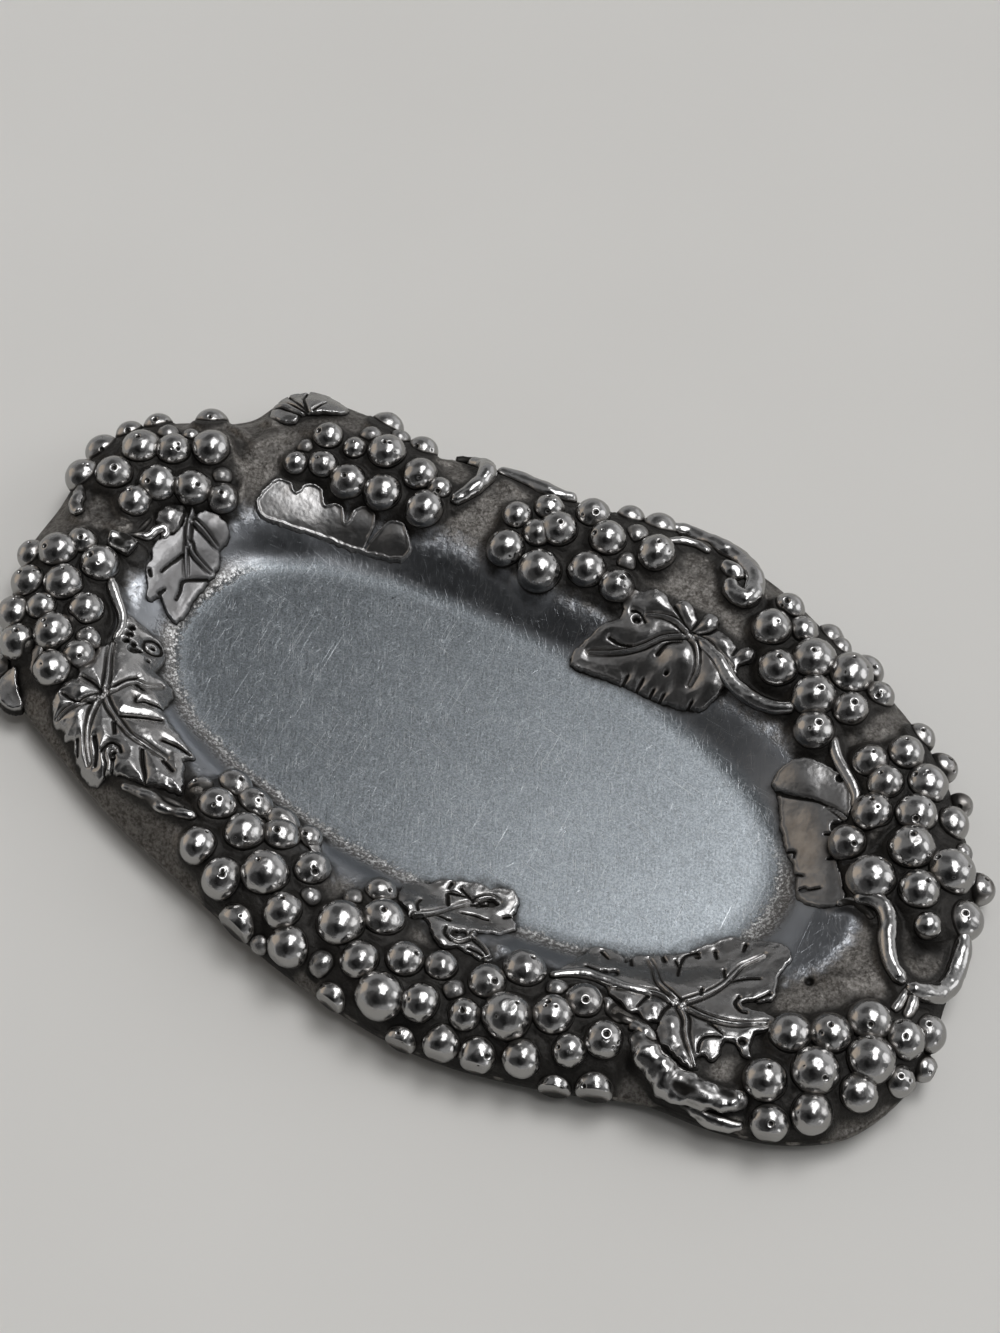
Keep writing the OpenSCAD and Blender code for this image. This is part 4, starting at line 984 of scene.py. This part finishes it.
# Layers of scratches in the well: direction in degrees, length and width in metres, shift,
# and the noise's levels between which they come out
SCRATCHES = (
    (122, 0.0056, 0.00013, 0.3, 0.66, 0.76), (104, 0.0046, 0.00012, 1.7, 0.68, 0.77),
    (141, 0.0052, 0.00013, 2.9, 0.67, 0.77), (66, 0.0044, 0.00012, 4.1, 0.69, 0.78),
    (14, 0.0040, 0.00013, 7.9, 0.70, 0.78), (172, 0.0160, 0.00017, 5.3, 0.70, 0.76),
    (96, 0.0200, 0.00017, 6.7, 0.70, 0.76))
WELL_DARK, WELL_PALE = (0.125, 0.138, 0.147), (0.41, 0.443, 0.468)
SCRATCH, SPECK = (0.74, 0.75, 0.76), (0.05, 0.05, 0.05)
WALL_DARK, WALL_PALE = (0.29, 0.305, 0.33), (0.40, 0.41, 0.425)
FIELD_DARK, FIELD_PALE = (0.062, 0.055, 0.048), (0.25, 0.236, 0.218)
# the band's dark grain, and the pale of its painted highlight glints
BAND_DARK, BAND_PAINTED_GLINT = (0.17, 0.155, 0.14), (0.80, 0.79, 0.77)
SAND_DARK, SAND_PALE = (0.30, 0.295, 0.285), (0.52, 0.515, 0.50)


def scratches(n, degrees, length, width, shift, low, high):
    """1 on one layer of scratches, 0 beside them."""
    place = n.turned(degrees, length, width, (shift * 0.01, shift * 0.007, 0))
    return n.step(n.noise(1.0, 1.0, 0.5, place), low, high)


def tray_material():
    """A satin well full of short scratches, a polished wall and an as-cast brown rim."""
    material, n, shader = new_material("tray_metal")
    depth, out, under, crowd = (n.attribute(name)
                                for name in ("depth", "out_of_well", "under", "crowd"))
    speckle, blotch = n.noise(1400, 4.0, 0.7), n.noise(420, 5.0, 0.6)

    # zones: the well, a ragged tooled band at its front edge with painted highlight glints, the
    # wall, and the cast rim
    moved = n.shaken(out, n.noise(90, 2.0), 3.0)
    ragged = n.shaken(moved, speckle, 5.0)
    on_wall = n.step(ragged, 0.2, 3.0)
    on_field = n.step(n.shaken(moved, blotch, 9.0), 7.5, 13.5)
    # the band keeps to the front of the well, where its pale glints are a painted highlight
    behind = n.add("SeparateXYZ", {0: n.place}, "Y")
    tooled_and_glint_band = n.times(n.times(n.step(ragged, -0.8, 0.8), n.step(ragged, 4.6, 2.2)),
                   n.step(behind, 0.019, 0.008))

    # the well: brushed, mottled and scratched, with patches of dark specks
    hair = n.total([scratches(n, *layer) for layer in SCRATCHES])
    brushed = n.noise(1.0, 4.0, 0.7, n.turned(118, 0.0045, 0.0005))
    cloud = n.noise(60, 4.0, 0.6)
    dots = n.add("TexVoronoi", {"Vector": n.place, "Scale": 700.0}, "Distance")
    patch = n.times(n.step(n.noise(75, 2.0), 0.55, 0.72), n.step(out, -9.0, -1.0))
    speck = n.times(patch, n.step(dots, 0.26, 0.12))
    mottle = n.step(n.noise(2300, 3.0, 0.7), 0.30, 0.70)
    well = n.colour(n.mul_add(mottle, 0.6, n.times(cloud, 0.35)), WELL_DARK, WELL_PALE)
    well = n.colour(n.times(hair, 0.6), well, SCRATCH)
    well = n.colour(n.times(speck, 0.9), well, SPECK)

    wall = n.colour(cloud, WALL_DARK, WALL_PALE)
    grainy = n.mul_add(speckle, 0.65, n.times(blotch, 0.35))
    field = n.colour(n.step(grainy, 0.36, 0.66), FIELD_DARK, FIELD_PALE)
    between = n.step(n.mul_add(blotch, 0.6, crowd), 0.35, 1.0)
    grime = n.math("MAXIMUM", n.step(n.mul_add(blotch, 0.6, depth), 0.40, 1.10),
                   n.times(between, 0.92))
    tone = n.colour(on_field, n.colour(on_wall, well, wall), field)
    # painted highlight: pale glints mixed into the colour on the front band
    painted_glints = n.colour(n.step(speckle, 0.47, 0.60), BAND_DARK, BAND_PAINTED_GLINT)
    tone = n.colour(n.times(tooled_and_glint_band, 0.75), tone, painted_glints)
    tone = n.colour(grime, tone, PATINA)
    tone = n.colour(under, tone, n.colour(speckle, SAND_DARK, SAND_PALE))

    metal = n.value(grime, n.value(on_field, 1.0, 0.8), 0.5)
    gloss = n.mul_add(brushed, 0.18, 0.20)
    gloss = n.value(on_wall, gloss, n.mul_add(blotch, 0.16, 0.22))
    gloss = n.value(n.times(tooled_and_glint_band, 0.8), gloss, 0.34)
    gloss = n.value(on_field, gloss, n.mul_add(blotch, -0.25, 0.52))
    gloss = n.value(grime, gloss, 0.52)

    coarse = n.total([n.times(on_field, 0.75), n.times(tooled_and_glint_band, 0.8), under])
    level = n.bump(n.mul_add(hair, -0.5, n.times(brushed, 0.5)), 0.00006, 0.5)
    level = n.bump(n.times(n.noise(1100, 5.0, 0.65), coarse), 0.00040, 0.9, level)
    level = n.bump(n.times(n.noise(200), on_field), 0.0007, 0.35, level)
    link(n, shader, Base_Color=tone, Metallic=n.value(under, metal, 0.9),
         Roughness=n.value(under, gloss, 0.6), Normal=n.bump(speck, 0.0003, -0.6, level))
    return material


# ---- building ----

DEPTH_WIDE, DEPTH_FINE = 1.9, 0.75  # blurs of the relief map that show where it is hollow
WORN_X, WORN_Y, WORN_L, WORN_W = 81, -1, 9, 10      # a patch of the rim worn like the wall


def finish_meshes():
    """Makes every mesh, with how deep each point lies in the relief as an attribute."""
    wide, fine = blurred(RELIEF, DEPTH_WIDE / CELL), blurred(RELIEF, DEPTH_FINE / CELL)
    materials = {"tray": tray_material(), "relief": relief_material()}
    for node, points, faces, kind, values in MADE:
        points = np.clip(points, np.array(CAD_BOX[0]) / MM, np.array(CAD_BOX[1]) / MM)
        mesh = bpy.data.meshes.new(node + "_cast")
        mesh.from_pydata((points * MM).tolist(), [], faces)
        x, y, z = points.T
        if kind == "tray":
            values["depth"] = 0.42 * (sample(wide, x, y) - z) + 0.5 * (sample(fine, x, y) - z)
            out = rim_coordinates(x, y)[1] * 0.5 * (TRAY_W - WELL_W)
            worn = np.exp(-((x - WORN_X) / WORN_L) ** 2
                          - ((y - WORN_Y) / WORN_W) ** 2) * smooth(6, 10, out)
            values["out_of_well"] = np.maximum(out - 9 * worn, np.minimum(out, 6.5))
        else:
            values["depth"] = 0.45 * (sample(fine, x, y) - z)
            if not node.startswith("leaf"):
                values["depth"] += 0.8 * smooth(0.8, 0.05, z - sample(FLOOR_UP, x, y))
        for key, numbers in values.items():
            layer = mesh.attributes.new(key, "FLOAT", "POINT")
            layer.data.foreach_set("value", np.asarray(numbers, np.float32))
        mesh.polygons.foreach_set("use_smooth", [True] * len(mesh.polygons))
        mesh.materials.append(materials[kind])
        piece = bpy.data.objects.new(node + "_cast", mesh)
        bpy.context.scene.collection.objects.link(piece)
        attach(piece, "root")
        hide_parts(node)


# ---- camera, floor and light ----

AZIMUTH, ELEVATION = 32.0, 57.0
CAMERA_FAR = 0.5554
CAMERA_RIGHT, CAMERA_UP = 0.0064, 0.0194     # the tray sits left of and below the middle
LENS = 72.9


def make_camera():
    """The view of the photo: from the front right, above the tray."""
    a, e = math.radians(AZIMUTH), math.radians(ELEVATION)
    back = Vector((math.sin(a) * math.cos(e), -math.cos(a) * math.cos(e), math.sin(e)))
    right = Vector((math.cos(a), math.sin(a), 0))
    up = back.cross(right)
    camera = bpy.data.cameras.new("camera")
    camera.lens = LENS
    camera.sensor_width = 36
    camera.clip_start = 0.01
    item = bpy.data.objects.new("camera", camera)
    item.location = back * CAMERA_FAR + right * CAMERA_RIGHT + up * CAMERA_UP
    item.rotation_mode = "QUATERNION"
    item.rotation_quaternion = (-back).to_track_quat("-Z", "Y")
    bpy.context.scene.collection.objects.link(item)
    bpy.context.scene.camera = item


def make_floor():
    """A pale table, which the camera sees a bit brighter than the tray does."""
    mesh = bpy.data.meshes.new("floor")
    r = 2.0
    mesh.from_pydata([(-r, -r, 0), (r, -r, 0), (r, r, 0), (-r, r, 0)], [], [(0, 1, 2, 3)])
    material, n, shader = new_material("floor_pale")
    cloud = n.noise(9, 2.0)
    lit = n.colour(cloud, (0.56, 0.55, 0.52), (0.62, 0.61, 0.58))
    seen = n.colour(cloud, (0.74, 0.725, 0.69), (0.80, 0.785, 0.75))
    link(n, shader, Base_Color=n.colour(n.add("LightPath", out="Is Camera Ray"), lit, seen))
    shader["Roughness"].default_value = 0.9
    shader["Specular IOR Level"].default_value = 0.1
    mesh.materials.append(material)
    floor = bpy.data.objects.new("floor", mesh)
    bpy.context.scene.collection.objects.link(floor)


LIGHTS = (                          # direction, outer and inner radius in degrees, strength
    ((0.12, 0.33, 0.936), 17, 8, 5.0),
    ((0.10, 0.42, 0.90), 23, 8, 1.1),
    ((-0.05, 0.47, 0.88), 14, 5, 0.55),
    ((0.278, -0.046, 0.959), 10, 6, 6.0),
    ((0.962, -0.233, 0.136), 9, 4, 2.0),
    ((0.776, 0.462, 0.43), 19, 11, 1.5),
    ((0.30, 0.94, 0.16), 30, 14, 0.4))
SHADES = (                          # direction, outer and inner radius, share left
    ((0.289, -0.462, 0.839), 42, 24, 0.20),
    ((-0.15, -0.85, 0.52), 42, 24, 0.18),
    ((0.95, -0.02, 0.25), 22, 10, 0.45),
    ((-0.52, 0.44, 0.73), 28, 10, 0.32))
WARM = (-0.96, -0.17, 0.26), 26, 10, 0.35           # the same, of the one warm light
COOL_TINT, WARM_TINT, BACKDROP = (0.98, 0.985, 1.0), (1.0, 0.86, 0.72), (0.66, 0.65, 0.62, 1)


def toward(n, direction, wide, narrow):
    """1 within an angle of a fixed direction in the surroundings, 0 beyond a wider one."""
    facing = n.add("VectorMath", {0: n.place, 1: Vector(direction).normalized()}, "Value",
                   operation="DOT_PRODUCT")
    return n.step(facing, math.cos(math.radians(wide)), math.cos(math.radians(narrow)))


def make_world():
    """A dim room with a soft window and lamps; the camera itself sees a pale backdrop."""
    world = bpy.data.worlds.new("studio")
    bpy.context.scene.world = world
    world.use_nodes = True
    world.node_tree.nodes.clear()
    n = Nodes(world.node_tree, "Generated")
    up = n.add("SeparateXYZ", {0: n.place}, "Z")
    level = n.value(n.step(up, 0.0, 0.8), 0.42, 0.27)
    for *where, share in SHADES:
        level = n.times(level, n.value(toward(n, *where), 1.0, share))
    for *where, strength in LIGHTS:
        level = n.mul_add(toward(n, *where), strength, level)
    *where, strength = WARM
    glow = toward(n, *where)
    level = n.mul_add(glow, strength, level)
    room = n.add("Background", {"Color": n.colour(glow, COOL_TINT, WARM_TINT),
                                "Strength": level})
    plain = n.add("Background", {"Color": BACKDROP, "Strength": 1.0})
    mixed = n.add("MixShader", {0: n.add("LightPath", out="Is Camera Ray"), 1: room, 2: plain})
    output = world.node_tree.nodes.new("ShaderNodeOutputWorld")
    link(n, output.inputs, Surface=mixed)


GRAPE_SEED, LEAF_SEED, STEM_SEED = 100, 300, 700
PER_LEAF, PER_BLADE, PER_STEM, PER_STRAND = 20, 10, 40, 7       # steps between seeds


def main():
    bpy.context.scene.view_settings.view_transform = "Standard"
    make_camera()
    make_tray()
    for i, (node, bunch) in enumerate(GRAPES.items()):
        keep(node, grape_patches(node, bunch, GRAPE_SEED + i))
    for i, node in enumerate(dict.fromkeys(leaf.node for leaf in LEAVES)):
        parts = [leaf for leaf in LEAVES if leaf.node == node]
        keep(node, [leaf_patch(leaf, LEAF_SEED + PER_LEAF * i + PER_BLADE * k)
                    for k, leaf in enumerate(parts)])
    for i, (node, strands) in enumerate(STEMS.items()):
        keep(node, [strand(*numbers, STEM_SEED + PER_STEM * i + PER_STRAND * k)
                    for k, numbers in enumerate(strands)])
    finish_meshes()
    make_floor()
    make_world()


main()
